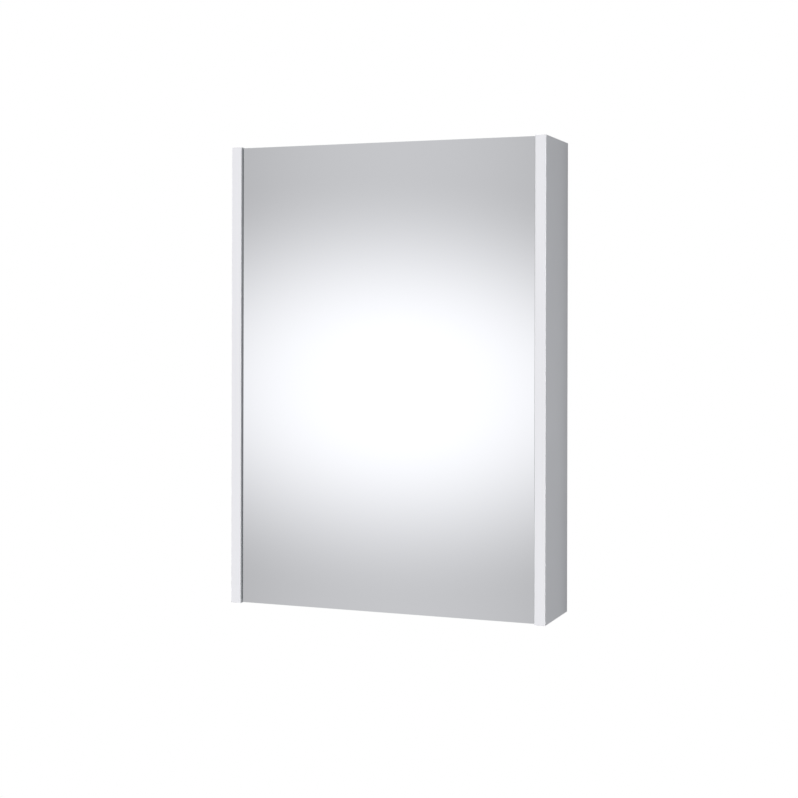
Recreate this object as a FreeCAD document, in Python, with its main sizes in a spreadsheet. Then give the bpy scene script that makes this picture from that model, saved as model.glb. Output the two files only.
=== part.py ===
import FreeCAD, Part
import math
import os
import re
import Sketcher

# Wall-hung mirror cabinet with one inset door, millimetres.
# X runs to the right, Y to the wall, Z up. The wall is the plane y = 0, and the origin is
# the middle of the suspension rail's back face.

doc = FreeCAD.newDocument("MirrorCabinet")
sizes = doc.addObject("Spreadsheet::Sheet", "Sizes")
places = doc.addObject("Spreadsheet::Sheet", "Places")
driving = []
derived = []
nodes = []


# Sheets, formulas and simple solids

def size(name, value):
    """A driving dimension, a plain number in the sheet of sizes."""
    row = len(driving) + 1
    sizes.set(f"A{row}", name)
    sizes.set(f"B{row}", str(value))
    sizes.setAlias(f"B{row}", name)
    driving.append(name)


def place(name, formula):
    """A place that follows from the sizes, a formula in the sheet of places."""
    row = len(derived) + 1
    places.set(f"A{row}", name)
    places.set(f"B{row}", "=" + qualified(formula, at_home=True))
    places.setAlias(f"B{row}", name)
    derived.append(name)


def qualified(formula, at_home=False):
    """The formula with each name led by the sheet that holds it."""
    def lead(match):
        word = match.group(0)
        if word in driving:
            return "Sizes." + word
        if word in derived and not at_home:
            return "Places." + word
        return word
    return re.sub(r"[a-z][a-z0-9_]*", lead, str(formula))


def bind(thing, prop, formula):
    thing.setExpression(prop, qualified(formula))


def value(name):
    """The present value of a size or a place."""
    sheet = sizes if name in driving else places
    return float(sheet.get(name))


def mirrored(side, near, far):
    """The low and high x of a span given by its distances from the middle; side is -1 or 1."""
    if side > 0:
        return near, far
    return f"-({far})", f"-({near})"


def block(name, x, y, z):
    """A box from its low and high formula on each axis."""
    box = doc.addObject("Part::Box", name)
    for prop, axis, (low, high) in zip(("Length", "Width", "Height"), "xyz", (x, y, z)):
        bind(box, prop, f"({high}) - ({low})")
        bind(box, "Placement.Base." + axis, low)
    return box


AIM = {
    "x": FreeCAD.Rotation(FreeCAD.Vector(0, 1, 0), 90),
    "y": FreeCAD.Rotation(FreeCAD.Vector(1, 0, 0), -90),
    "z": FreeCAD.Rotation(),
}


def rod(name, axis, start, length, diameter):
    """A cylinder that runs from start along the positive axis."""
    body = doc.addObject("Part::Cylinder", name)
    body.Placement = FreeCAD.Placement(FreeCAD.Vector(), AIM[axis])
    bind(body, "Radius", f"({diameter}) / 2")
    bind(body, "Height", length)
    for letter, formula in zip("xyz", start):
        bind(body, "Placement.Base." + letter, formula)
    return body


def rod_x(name, side, near, far, y, z, diameter):
    """A cylinder along X between two distances from the middle, on either side."""
    low, high = mirrored(side, near, far)
    return rod(name, "x", (low, y, z), f"({high}) - ({low})", diameter)


def fuse(name, shapes):
    union = doc.addObject("Part::MultiFuse", name)
    union.Shapes = shapes
    return union


def group(name, shapes):
    """Like pieces that stay separate solids in one sub-part."""
    bundle = doc.addObject("Part::Compound", name)
    bundle.Links = shapes
    return bundle


def cut(name, base, tools):
    """The base less every tool."""
    tool = tools[0] if len(tools) == 1 else fuse(name + "_tools", tools)
    rest = doc.addObject("Part::Cut", name)
    rest.Base = base
    rest.Tool = tool
    return rest


def node(thing, label):
    """Names a finished sub-part, which goes to its own file."""
    thing.Label = label
    nodes.append(thing)
    return thing


def origin_plane(body, role):
    return next(item for item in body.Origin.OriginFeatures if item.Role == role)


def outline(body, name, role, points):
    """A closed sketch of straight lines whose corners are bound to pairs of formulas."""
    sketch = body.newObject("Sketcher::SketchObject", name)
    sketch.AttachmentSupport = [(origin_plane(body, role), "")]
    sketch.MapMode = "FlatFace"
    count = len(points)
    guess = [FreeCAD.Vector(number(u), number(v), 0) for u, v in points]
    for index in range(count):
        sketch.addGeometry(Part.LineSegment(guess[index], guess[(index + 1) % count]), False)
    for index in range(count):
        following = (index + 1) % count
        sketch.addConstraint(Sketcher.Constraint("Coincident", index, 2, following, 1))
    for index, (u, v) in enumerate(points):
        for kind, formula, spot in (("DistanceX", u, guess[index].x), ("DistanceY", v, guess[index].y)):
            row = sketch.addConstraint(Sketcher.Constraint(kind, -1, 1, index, 1, spot))
            sketch.setExpression(f"Constraints[{row}]", qualified(formula))
    return sketch


def number(formula):
    """The value of a formula, worked out by the sheet's own rules."""
    return float(places.evalExpression(qualified(formula)))


def padded_body(name, role, points, length, centred=True):
    """A body padded from an outline, half its length to each side of the plane if centred."""
    body = doc.addObject("PartDesign::Body", name)
    sketch = outline(body, name + "_outline", role, points)
    pad = body.newObject("PartDesign::Pad", name + "_pad")
    pad.Profile = sketch
    bind(pad, "Length", length)
    pad.Midplane = centred
    sketch.Visibility = False
    return body


# Driving dimensions

SIZES = {
    # Whole cabinet
    "cabinet_width": 500,
    "cabinet_height": 700,
    "cabinet_depth": 120,
    "board_thick": 16,
    "edging_thick": 1,
    "rail_drop": 55,
    "grip_height": 20,
    "fit_gap": 0.1,
    # Back panel
    "back_thick": 3,
    "back_space": 16,
    "groove_depth": 6,
    # Door and mirror
    "door_side_gap": 1.5,
    "door_end_gap": 1,
    "door_recess": 4.5,
    "door_board": 16,
    "glass_thick": 4,
    "glass_arris": 0.8,
    "tape_thick": 1,
    "tape_width": 12,
    "tape_inset": 10,
    "bumper_gap": 2,
    "bumper_diameter": 8,
    "bumper_play": 0.3,
    "bumper_inset": 30,
    # Shelves and their pins
    "shelf_thick": 5,
    "shelf_side_gap": 1.5,
    "shelf_back_gap": 2,
    "shelf_front_gap": 6,
    "pin_diameter": 5,
    "pin_depth": 8,
    "pin_reach": 7,
    "pin_inset": 16,
    "pin_row_step": 32,
    # Corner joints
    "dowel_diameter": 8,
    "dowel_in_side": 11,
    "dowel_in_panel": 20,
    "dowel_front_inset": 14,
    "dowel_back_inset": 34,
    "cam_inset": 24,
    "cam_diameter": 15,
    "cam_height": 12,
    "cam_cover_thick": 1.5,
    "cam_bolt_diameter": 6,
    "cam_bolt_thread": 11,
    # Hinges
    "hinge_inset": 115,
    "cup_diameter": 35,
    "cup_edge_gap": 5,
    "cup_depth": 11.5,
    "cup_wall": 0.9,
    "cup_floor": 0.7,
    "flange_thick": 1.2,
    "flange_lip": 1,
    "flange_end": 6,
    "flange_width": 15,
    "flange_screw_margin": 6.5,
    "flange_screw_offset": 6,
    "cup_ear_width": 3,
    "cup_pin_inset": 4,
    "cup_pin_deep": 3.5,
    "cup_pin_diameter": 2.2,
    "arm_pin_in": 29.8,
    "arm_pin_back": 17.6,
    "arm_pin_diameter": 3,
    "link_thick": 2.4,
    "link_width": 10,
    "link_eye": 1.9,
    "link_boss": 2.9,
    "link_bend": 2.2,
    "link_floor_gap": 1.1,
    "link_lean": 0.3,
    "link_bow": 3.4,
    "link_throat_offset": 1.3,
    "link_throat_deep": 2.4,
    "link_shoulder": 5,
    "plate_setback": 37,
    "plate_thick": 2,
    "plate_width": 16,
    "plate_length": 52,
    "plate_screw_spacing": 32,
    "plate_boss_height": 6.5,
    "plate_boss_width": 12.4,
    "plate_boss_length": 30,
    "arm_wall": 1.3,
    "arm_width": 16,
    "nose_gap": 0.6,
    "arm_cover_thick": 1,
    "wood_screw_diameter": 4,
    "wood_screw_length": 11,
    "screw_head_diameter": 8,
    "screw_head_height": 1.8,
    # Wall suspension
    "hanger_width": 24,
    "hanger_depth": 42,
    "hanger_height": 52,
    "hanger_top_gap": 3,
    "hanger_wall": 2,
    "hanger_cover_thick": 1.5,
    "hanger_cover_depth": 12,
    "hook_thick": 3,
    "hook_bar": 6,
    "hook_tip": 10,
    "hook_tip_thick": 3,
    "hook_wall_gap": 1.5,
    "hook_plate_depth": 16,
    "hook_plate_rise": 14,
    "hook_play": 8,
    "adjuster_rise": 18,
    "hanger_screw_inset": 10,
    "hanger_screw_rise": 9,
    "hanger_screw_diameter": 6,
    "rail_overhang": 8,
    "rail_height": 40,
    "rail_depth": 10,
    "rail_thick": 2,
    "rail_lip": 16,
    "rail_hole_spacing": 320,
    "rail_hole_diameter": 7,
    "rail_hole_drop": 8,
}
for size_name, millimetres in SIZES.items():
    size(size_name, millimetres)

# Places that follow from them

place("outer_half", "cabinet_width / 2")
place("inner_half", "cabinet_width / 2 - board_thick")
place("top_z", "rail_drop")
place("bottom_z", "rail_drop - cabinet_height")
place("front_y", "-cabinet_depth")
place("ceiling_z", "top_z - board_thick")
place("floor_z", "bottom_z + grip_height + board_thick")
place("door_half", "inner_half - door_side_gap")
place("door_top", "top_z - door_end_gap")
place("door_bottom", "bottom_z + door_end_gap")
place("glass_front", "front_y + door_recess")
place("glass_back", "glass_front + glass_thick")
place("board_front", "glass_back + tape_thick")
place("door_back", "board_front + door_board")
place("carcass_front", "door_back + bumper_gap")
place("back_rear", "-back_space")
place("back_front", "-back_space - back_thick")
place("shelf_front", "carcass_front + shelf_front_gap")
place("shelf_back", "back_front - shelf_back_gap")
place("pin_front_y", "shelf_front + pin_inset")
place("pin_back_y", "shelf_back - pin_inset")
place("top_mid", "top_z - board_thick / 2")
place("bottom_mid", "floor_z - board_thick / 2")
place("dowel_front_y", "carcass_front + dowel_front_inset")
place("dowel_back_y", "-dowel_back_inset")
place("cam_y", "(dowel_front_y + dowel_back_y) / 2")
place("shelf_upper_z", "ceiling_z - (ceiling_z - floor_z) / 3")
place("shelf_lower_z", "floor_z + (ceiling_z - floor_z) / 3")
place("hinge_upper_z", "door_top - hinge_inset")
place("hinge_lower_z", "door_bottom + hinge_inset")
place("cup_x", "cup_edge_gap + cup_diameter / 2 - door_half")
place("flange_screw_z", "cup_diameter / 2 + flange_screw_margin")
place("cup_pin_x", "cup_edge_gap + cup_pin_inset - door_half")
place("cup_pin_y", "door_back - cup_pin_deep")
place("arm_pin_x", "arm_pin_in - door_half")
place("arm_pin_y", "door_back + arm_pin_back")
place("cup_pin_offset", "cup_x - cup_pin_x + cup_pin_diameter / 2")
place("cup_pin_half", "sqrt((cup_diameter / 2) ^ 2 - cup_pin_offset ^ 2) - 4 * fit_gap")
place("nose_reach", "link_boss + nose_gap")
place("nose_root_y", "arm_pin_y + 2 * nose_reach")
place("plate_y", "door_back + plate_setback")
place("plate_face", "plate_thick - inner_half")
place("boss_face", "plate_face + plate_boss_height")
place("arm_inside", "boss_face + fit_gap")
place("arm_face", "arm_inside + arm_wall")
place("arm_foot", "plate_face + fit_gap")
place("arm_rear", "plate_y + plate_boss_length / 2 + arm_wall + fit_gap")
place("hanger_top", "ceiling_z - hanger_top_gap")
place("hanger_bottom", "hanger_top - hanger_height")
place("hanger_rear", "back_front")
place("hanger_front", "back_front - hanger_depth")
place("rail_top", "rail_height / 2")
place("hook_x", "inner_half - hanger_width / 2")
place("rail_half", "hook_x + hook_thick / 2 + rail_overhang")
place("hook_top", "rail_top + hook_bar")
place("hook_front", "hanger_front + hanger_wall + hook_play")
place("hook_back", "-rail_thick - hook_wall_gap")

HINGES = (("upper", "hinge_upper_z"), ("lower", "hinge_lower_z"))
SHELVES = (("upper", "shelf_upper_z"), ("lower", "shelf_lower_z"))
SIDES = (("left", -1), ("right", 1))
doc.recompute()


# Carcass

def pin_spots():
    """Heights and depths of the shelf pins: a row of three holes round each shelf's height."""
    for row, under in SHELVES:
        for line, depth in (("front", "pin_front_y"), ("back", "pin_back_y")):
            yield row, line, f"{under} - pin_diameter / 2", depth


def corner_spots():
    """The four corners where the top and bottom panels meet the sides."""
    for side_name, side in SIDES:
        for level, mid in (("top", "top_mid"), ("bottom", "bottom_mid")):
            yield side_name, side, level, mid


def side_panel(side_name, side):
    """Upright board with a groove for the back and bores for dowels, bolts, pins and screws."""
    name = "side_" + side_name
    board = block(name + "_board", mirrored(side, "inner_half", "outer_half"),
                  ("front_y + edging_thick", "0"), ("bottom_z", "top_z"))
    tools = [block(name + "_groove", mirrored(side, "inner_half", "inner_half + groove_depth"),
                   ("back_front - fit_gap", "back_rear + fit_gap"), ("bottom_z", "top_z"))]
    for row, line, height, depth in pin_spots():
        for step in (-1, 0, 1):
            hole = rod_x(f"{name}_pin_hole_{row}_{line}_{step + 1}", side, "inner_half",
                         "inner_half + pin_depth + fit_gap", depth,
                         f"{height} + {step} * pin_row_step", "pin_diameter + 2 * fit_gap")
            tools.append(hole)
    for level, mid in (("top", "top_mid"), ("bottom", "bottom_mid")):
        for line, depth in dowel_lines():
            tools.append(rod_x(f"{name}_dowel_hole_{level}_{line}", side, "inner_half",
                               "inner_half + dowel_in_side + fit_gap", depth, mid,
                               "dowel_diameter + 2 * fit_gap"))
        tools.append(rod_x(f"{name}_bolt_hole_{level}", side, "inner_half",
                           "inner_half + cam_bolt_thread + fit_gap", "cam_y", mid,
                           "cam_bolt_diameter + 2 * fit_gap"))
    for spot, (y, z) in enumerate(hanger_screw_spots()):
        tools.append(rod_x(f"{name}_hanger_hole_{spot}", side, "inner_half",
                           "inner_half + wood_screw_length - hanger_wall + fit_gap", y, z,
                           "wood_screw_diameter + 2 * fit_gap"))
    if side < 0:
        for hinge, height in HINGES:
            for step in (-1, 1):
                tools.append(rod_x(f"{name}_plate_hole_{hinge}_{step + 1}", side, "inner_half",
                                   "inner_half + wood_screw_length - plate_thick + fit_gap", "plate_y",
                                   f"{height} + {step} * plate_screw_spacing / 2",
                                   "wood_screw_diameter + 2 * fit_gap"))
    node(cut(name + "_cut", board, tools), "side_panel_" + side_name)
    strip = block(name + "_strip", mirrored(side, "inner_half", "outer_half"),
                  ("front_y", "front_y + edging_thick"), ("bottom_z", "top_z"))
    node(strip, "side_edging_" + side_name)


def dowel_lines():
    return (("front", "dowel_front_y"), ("back", "dowel_back_y"))


def cross_panel(level, low, high, mid, bore_low, bore_high):
    """Top or bottom board between the sides, with its cams let into the outer face."""
    name = level + "_panel"
    board = block(name + "_board", ("-inner_half", "inner_half"),
                  ("carcass_front + edging_thick", "0"), (low, high))
    groove_low, groove_high = (low, f"{low} + groove_depth")
    if level == "bottom":
        groove_low, groove_high = (f"{high} - groove_depth", high)
    tools = [block(name + "_groove", ("-inner_half", "inner_half"),
                   ("back_front - fit_gap", "back_rear + fit_gap"), (groove_low, groove_high))]
    for side_name, side in SIDES:
        for line, depth in dowel_lines():
            tools.append(rod_x(f"{name}_dowel_hole_{side_name}_{line}", side,
                               "inner_half - dowel_in_panel - fit_gap", "inner_half", depth, mid,
                               "dowel_diameter + 2 * fit_gap"))
        tools.append(rod_x(f"{name}_bolt_hole_{side_name}", side, "inner_half - cam_inset",
                           "inner_half", "cam_y", mid, "cam_bolt_diameter + 2 * fit_gap"))
        tools.append(rod(f"{name}_cam_bore_{side_name}", "z",
                         (f"{side} * (inner_half - cam_inset)", "cam_y", bore_low),
                         f"({bore_high}) - ({bore_low})", "cam_diameter + 2 * fit_gap"))
    node(cut(name + "_cut", board, tools), name)


def panel_edging():
    """Edging on the front edges of the top and bottom panels."""
    strips = []
    for level, low, high in (("top", "ceiling_z", "top_z"), ("bottom", "floor_z - board_thick", "floor_z")):
        strips.append(block(f"{level}_panel_strip", ("-inner_half", "inner_half"),
                            ("carcass_front", "carcass_front + edging_thick"), (low, high)))
    node(group("panel_edging_group", strips), "panel_edging")


def back_panel():
    """Thin board in the grooves, with a window behind each hanger for its hook."""
    sheet = block("back_sheet",
                  ("-(inner_half + groove_depth - fit_gap)", "inner_half + groove_depth - fit_gap"),
                  ("back_front", "back_rear"),
                  ("floor_z - groove_depth + fit_gap", "ceiling_z + groove_depth - fit_gap"))
    windows = []
    for side_name, side in SIDES:
        windows.append(block("back_window_" + side_name,
                             mirrored(side, "hook_x - hanger_width / 2 + hanger_wall",
                                      "hook_x + hanger_width / 2 - hanger_wall"),
                             ("back_front - 1", "back_rear + 1"),
                             ("hanger_bottom + hanger_wall", "hanger_top - hanger_wall")))
    node(cut("back_cut", sheet, windows), "back_panel")


def corner_fittings():
    """Dowels, cam bolts, cams and their covers at the four corners."""
    dowels = []
    bolts = []
    cams = []
    covers = []
    for side_name, side, level, mid in corner_spots():
        tag = f"{level}_{side_name}"
        for line, depth in dowel_lines():
            dowels.append(rod_x(f"dowel_{tag}_{line}", side, "inner_half - dowel_in_panel",
                                "inner_half + dowel_in_side", depth, mid, "dowel_diameter"))
        shank = rod_x(f"bolt_shank_{tag}", side, "inner_half - cam_inset + cam_bolt_diameter / 2",
                      "inner_half + cam_bolt_thread", "cam_y", mid, "cam_bolt_diameter")
        bolts.append(shank)
        outer, inner = ("top_z", f"top_z - cam_cover_thick - cam_height")
        cover_low, cam_low = ("top_z - cam_cover_thick", inner)
        if level == "bottom":
            outer = "floor_z - board_thick"
            cover_low, cam_low = (outer, f"{outer} + cam_cover_thick")
        centre = f"{side} * (inner_half - cam_inset)"
        drum = rod(f"cam_drum_{tag}", "z", (centre, "cam_y", cam_low), "cam_height", "cam_diameter")
        channel = rod_x(f"cam_channel_{tag}", side, "inner_half - cam_inset", "inner_half", "cam_y",
                        mid, "cam_bolt_diameter + 2 * fit_gap")
        cams.append(cut(f"cam_{tag}", drum, [channel]))
        covers.append(rod(f"cam_cover_{tag}", "z", (centre, "cam_y", cover_low), "cam_cover_thick",
                          "cam_diameter"))
    node(group("dowel_group", dowels), "wood_dowels")
    node(group("bolt_group", bolts), "cam_bolts")
    node(group("cam_group", cams), "cam_housings")
    node(group("cam_cover_group", covers), "cam_covers")


def shelves():
    """Two glass shelves on eight pins."""
    pins = []
    for row, under in SHELVES:
        plate = block(f"shelf_{row}_glass",
                      ("-(inner_half - shelf_side_gap)", "inner_half - shelf_side_gap"),
                      ("shelf_front", "shelf_back"),
                      (under, f"{under} + shelf_thick"))
        node(plate, "shelf_" + row)
    for row, line, height, depth in pin_spots():
        for side_name, side in SIDES:
            tag = f"{row}_{line}_{side_name}"
            pins.append(rod_x("shelf_pin_" + tag, side, "inner_half - pin_reach",
                              "inner_half + pin_depth", depth, height, "pin_diameter"))
    node(group("shelf_pin_group", pins), "shelf_pins")


# Wall suspension

def hanger_screw_spots():
    """Depth and height of the two screws that hold a hanger box to its side panel."""
    height = "hanger_bottom + hanger_screw_rise"
    return (("hanger_front + hanger_screw_inset", height), ("hanger_rear - hanger_screw_inset", height))


def hanger(side_name, side):
    """Box in the top rear corner with a hook that reaches through the back to the rail."""
    tag = "hanger_" + side_name
    shell = block(tag + "_shell", mirrored(side, "inner_half - hanger_width", "inner_half"),
                  ("hanger_front", "hanger_rear"), ("hanger_bottom", "hanger_top"))
    cavity = block(tag + "_cavity",
                   mirrored(side, "inner_half - hanger_width + hanger_wall", "inner_half - hanger_wall"),
                   ("hanger_front + hanger_wall", "hanger_rear + 1"),
                   ("hanger_bottom + hanger_wall", "hanger_top - hanger_wall"))
    tools = [cavity]
    for spot, (y, z) in enumerate(hanger_screw_spots()):
        tools.append(rod_x(f"{tag}_screw_hole_{spot}", side, "inner_half - hanger_wall - 1",
                           "inner_half + 1", y, z, "wood_screw_diameter + 2 * fit_gap"))
    for spot, height in enumerate(adjuster_heights()):
        tools.append(rod(f"{tag}_adjuster_hole_{spot}", "y",
                         (f"{side} * hook_x", "hanger_front - 1", height), "hanger_wall + 2",
                         "hanger_screw_diameter + 2 * fit_gap"))
    node(cut(tag + "_box", shell, tools), "hanger_box_" + side_name)

    across = mirrored(side, "hook_x - hook_thick / 2", "hook_x + hook_thick / 2")
    hook = [block(tag + "_hook_plate", across, ("hook_front", "hook_front + hook_plate_depth"),
                  ("hanger_bottom + hook_plate_rise", "hook_top")),
            block(tag + "_hook_bar", across, ("hook_front", "hook_back"), ("rail_top", "hook_top")),
            block(tag + "_hook_tip", across, ("hook_back - hook_tip_thick", "hook_back"),
                  ("rail_top - hook_tip", "hook_top"))]
    node(fuse(tag + "_hook", hook), "hanger_hook_" + side_name)

    cap = block(tag + "_cap_outside",
                mirrored(side, "inner_half - hanger_width - fit_gap - hanger_cover_thick",
                         "inner_half - fit_gap"),
                ("hanger_front - screw_head_height - hanger_cover_thick",
                 "hanger_front - screw_head_height - hanger_cover_thick + hanger_cover_depth"),
                ("hanger_bottom - fit_gap - hanger_cover_thick",
                 "hanger_top + fit_gap + hanger_cover_thick"))
    hollow = block(tag + "_cap_inside",
                   mirrored(side, "inner_half - hanger_width - fit_gap", "inner_half + 1"),
                   ("hanger_front - screw_head_height", "hanger_front + hanger_cover_depth"),
                   ("hanger_bottom - fit_gap", "hanger_top + fit_gap"))
    node(cut(tag + "_cap", cap, [hollow]), "hanger_cover_" + side_name)


def adjuster_heights():
    return ("rail_top", "hanger_bottom + adjuster_rise")


def hanger_screws():
    """Adjusting screws that bear on the hooks, and wood screws that hold the boxes."""
    adjusters = []
    fixings = []
    for side_name, side in SIDES:
        for spot, height in enumerate(adjuster_heights()):
            tag = f"{side_name}_{spot}"
            shank = rod("adjuster_shank_" + tag, "y",
                        (f"{side} * hook_x", "hanger_front - screw_head_height / 2", height),
                        "hook_front - hanger_front + screw_head_height / 2", "hanger_screw_diameter")
            adjusters.append(shank)
        for spot, (y, z) in enumerate(hanger_screw_spots()):
            tag = f"{side_name}_{spot}"
            shank = rod_x("fixing_shank_" + tag, side, "inner_half - hanger_wall",
                          "inner_half - hanger_wall + wood_screw_length", y, z, "wood_screw_diameter")
            head = rod_x("fixing_head_" + tag, side, "inner_half - hanger_wall - screw_head_height",
                         "inner_half - hanger_wall", y, z, "screw_head_diameter")
            fixings.append(fuse("fixing_" + tag, [shank, head]))
    node(group("adjuster_group", adjusters), "hanger_adjusting_screws")
    node(group("fixing_group", fixings), "hanger_fixing_screws")


def wall_rail():
    """Pressed steel rail: a plate on the wall, a step forward and a lip that carries the hooks."""
    points = [("0", "-rail_top"), ("0", "rail_top - rail_lip + rail_thick"),
              ("-rail_depth + rail_thick", "rail_top - rail_lip + rail_thick"),
              ("-rail_depth + rail_thick", "rail_top"), ("-rail_depth", "rail_top"),
              ("-rail_depth", "rail_top - rail_lip"), ("-rail_thick", "rail_top - rail_lip"),
              ("-rail_thick", "-rail_top")]
    body = padded_body("wall_rail_body", "YZ_Plane", points, "2 * rail_half")
    drill = body.newObject("Sketcher::SketchObject", "wall_rail_drilling")
    drill.AttachmentSupport = [(origin_plane(body, "XZ_Plane"), "")]
    drill.MapMode = "FlatFace"
    for index, side in enumerate((-1, 1)):
        spot = FreeCAD.Vector(side * value("rail_hole_spacing") / 2, -value("rail_hole_drop"), 0)
        drill.addGeometry(Part.Circle(spot, FreeCAD.Vector(0, 0, 1), value("rail_hole_diameter") / 2), False)
        bound = (("DistanceX", spot.x, f"{side} * rail_hole_spacing / 2"),
                 ("DistanceY", spot.y, "-rail_hole_drop"))
        for kind, start, formula in bound:
            row = drill.addConstraint(Sketcher.Constraint(kind, -1, 1, index, 3, start))
            drill.setExpression(f"Constraints[{row}]", qualified(formula))
        row = drill.addConstraint(Sketcher.Constraint("Radius", index, value("rail_hole_diameter") / 2))
        drill.setExpression(f"Constraints[{row}]", qualified("rail_hole_diameter / 2"))
    pocket = body.newObject("PartDesign::Pocket", "wall_rail_holes")
    pocket.Profile = drill
    pocket.Type = "ThroughAll"
    pocket.Midplane = True
    drill.Visibility = False
    node(body, "wall_rail")


# Hinges

def strap(points, half):
    """A flat face of constant width round a bent centre line with rounded corners."""
    corners = [FreeCAD.Vector(*point, 0) for point in points]
    bend = value("link_bend")
    edges = []
    start = corners[0]
    for before, corner, after in zip(corners, corners[1:], corners[2:]):
        into = (corner - before).normalize()
        out = (after - corner).normalize()
        turn = into.getAngle(out)
        reach = bend * math.tan(turn / 2)
        entry = corner - into * reach
        leave = corner + out * reach
        middle = corner + (out - into).normalize() * (bend / math.cos(turn / 2) - bend)
        edges.append(Part.LineSegment(start, entry).toShape())
        edges.append(Part.Arc(entry, middle, leave).toShape())
        start = leave
    edges.append(Part.LineSegment(start, corners[-1]).toShape())
    return Part.Face(Part.Wire(edges).makeOffset2D(half))


def hinge_link(hinge, height):
    """Goose-neck link: it dips into the cup and comes round the door's edge as the door opens."""
    back = value("door_back")
    floor = back - value("cup_depth") + value("cup_floor")
    cup_pin = (value("cup_pin_x"), value("cup_pin_y"))
    arm_pin = (value("arm_pin_x"), value("arm_pin_y"))
    low = floor + value("link_thick") / 2 + value("link_floor_gap")
    throat = value("cup_x") - value("link_throat_offset")
    bow = throat - value("link_bow")
    points = [cup_pin, (cup_pin[0] + value("link_lean"), low), (bow, low),
              (throat, back - value("link_throat_deep")), (bow, back + value("link_shoulder")), arm_pin]
    width = value("link_width")
    half = value("link_thick") / 2
    face = strap(points, half)
    solid = face.extrude(FreeCAD.Vector(0, 0, width))
    for (x, y), radius in ((cup_pin, value("link_eye")), (arm_pin, value("link_boss"))):
        solid = solid.fuse(Part.makeCylinder(radius, width, FreeCAD.Vector(x, y, 0)))
    for (x, y), bore in ((cup_pin, value("cup_pin_diameter")), (arm_pin, value("arm_pin_diameter"))):
        radius = bore / 2 + value("fit_gap")
        solid = solid.cut(Part.makeCylinder(radius, width, FreeCAD.Vector(x, y, 0)))
    link = doc.addObject("Part::Feature", "link_" + hinge)
    link.Shape = solid.removeSplitter()
    link.Placement = FreeCAD.Placement(FreeCAD.Vector(0, 0, value(height) - width / 2), FreeCAD.Rotation())
    node(link, "hinge_link_" + hinge)


def hinge_cup(hinge, height):
    """Round cup let into the door, with a flange, two ears for the link's pin and screw holes."""
    tag = "cup_" + hinge
    seat = "door_back - cup_depth"
    outer = rod(tag + "_outer", "y", ("cup_x", seat, height), "cup_depth", "cup_diameter - 2 * fit_gap")
    lip = rod(tag + "_lip", "y", ("cup_x", "door_back", height), "flange_thick",
              "cup_diameter + 2 * flange_lip")
    plate = block(tag + "_flange",
                  ("cup_x + flange_screw_offset - flange_width / 2",
                   "cup_x + flange_screw_offset + flange_width / 2"),
                  ("door_back", "door_back + flange_thick"),
                  (f"{height} - flange_screw_z - flange_end", f"{height} + flange_screw_z + flange_end"))
    hollow = rod(tag + "_hollow", "y", ("cup_x", f"{seat} + cup_floor", height),
                 "cup_depth + flange_thick", "cup_diameter - 2 * fit_gap - 2 * cup_wall")
    shell = cut(tag + "_shell", fuse(tag + "_solid", [outer, lip, plate]), [hollow])
    ears = []
    for step in (-1, 1):
        low, high = mirrored(step, "link_width / 2 + 2 * fit_gap", "cup_diameter / 2")
        ears.append(block(f"{tag}_ear_{step + 1}",
                          ("cup_pin_x - cup_diameter / 2", "cup_pin_x + cup_ear_width"),
                          ("cup_pin_y - cup_ear_width", "door_back"),
                          (f"{height} + ({low})", f"{height} + ({high})")))
    round_limit = rod(tag + "_ear_limit", "y", ("cup_x", seat, height), "cup_depth",
                      "cup_diameter - 2 * fit_gap - cup_wall")
    trimmed = doc.addObject("Part::Common", tag + "_ears")
    trimmed.Base = fuse(tag + "_ear_pair", ears)
    trimmed.Tool = round_limit
    body = fuse(tag + "_body", [shell, trimmed])
    tools = [rod(tag + "_pin_hole", "z", ("cup_pin_x", "cup_pin_y", f"{height} - cup_pin_half - fit_gap"),
                 "2 * cup_pin_half + 2 * fit_gap", "cup_pin_diameter + 2 * fit_gap")]
    for step in (-1, 1):
        tools.append(rod(f"{tag}_screw_hole_{step + 1}", "y",
                         ("cup_x + flange_screw_offset", "door_back - 1",
                          f"{height} + {step} * flange_screw_z"),
                         "flange_thick + 2", "wood_screw_diameter + 2 * fit_gap"))
    node(cut(tag + "_cut", body, tools), "hinge_cup_" + hinge)


def hinge_plate(hinge, height):
    """Mounting plate: two wings screwed to the side panel and a raised seat for the arm."""
    tag = "plate_" + hinge
    wings = block(tag + "_wings", ("-inner_half", "plate_face"),
                  ("plate_y - plate_width / 2", "plate_y + plate_width / 2"),
                  (f"{height} - plate_length / 2", f"{height} + plate_length / 2"))
    boss = block(tag + "_boss", ("-inner_half", "boss_face"),
                 ("plate_y - plate_boss_length / 2", "plate_y + plate_boss_length / 2"),
                 (f"{height} - plate_boss_width / 2", f"{height} + plate_boss_width / 2"))
    tools = []
    for step in (-1, 1):
        tools.append(rod(f"{tag}_hole_{step + 1}", "x",
                         ("-inner_half - 1", "plate_y", f"{height} + {step} * plate_screw_spacing / 2"),
                         "plate_thick + 2", "wood_screw_diameter + 2 * fit_gap"))
    for spot, depth in enumerate(arm_screw_depths()):
        tools.append(rod(f"{tag}_thread_{spot}", "x",
                         ("boss_face - plate_boss_height", depth, height),
                         "plate_boss_height + 1", "wood_screw_diameter + 2 * fit_gap"))
    node(cut(tag + "_cut", fuse(tag + "_solid", [wings, boss]), tools), "hinge_plate_" + hinge)


def arm_screw_depths():
    return ("plate_y - plate_boss_length / 8", "plate_y + plate_boss_length / 4")


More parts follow.
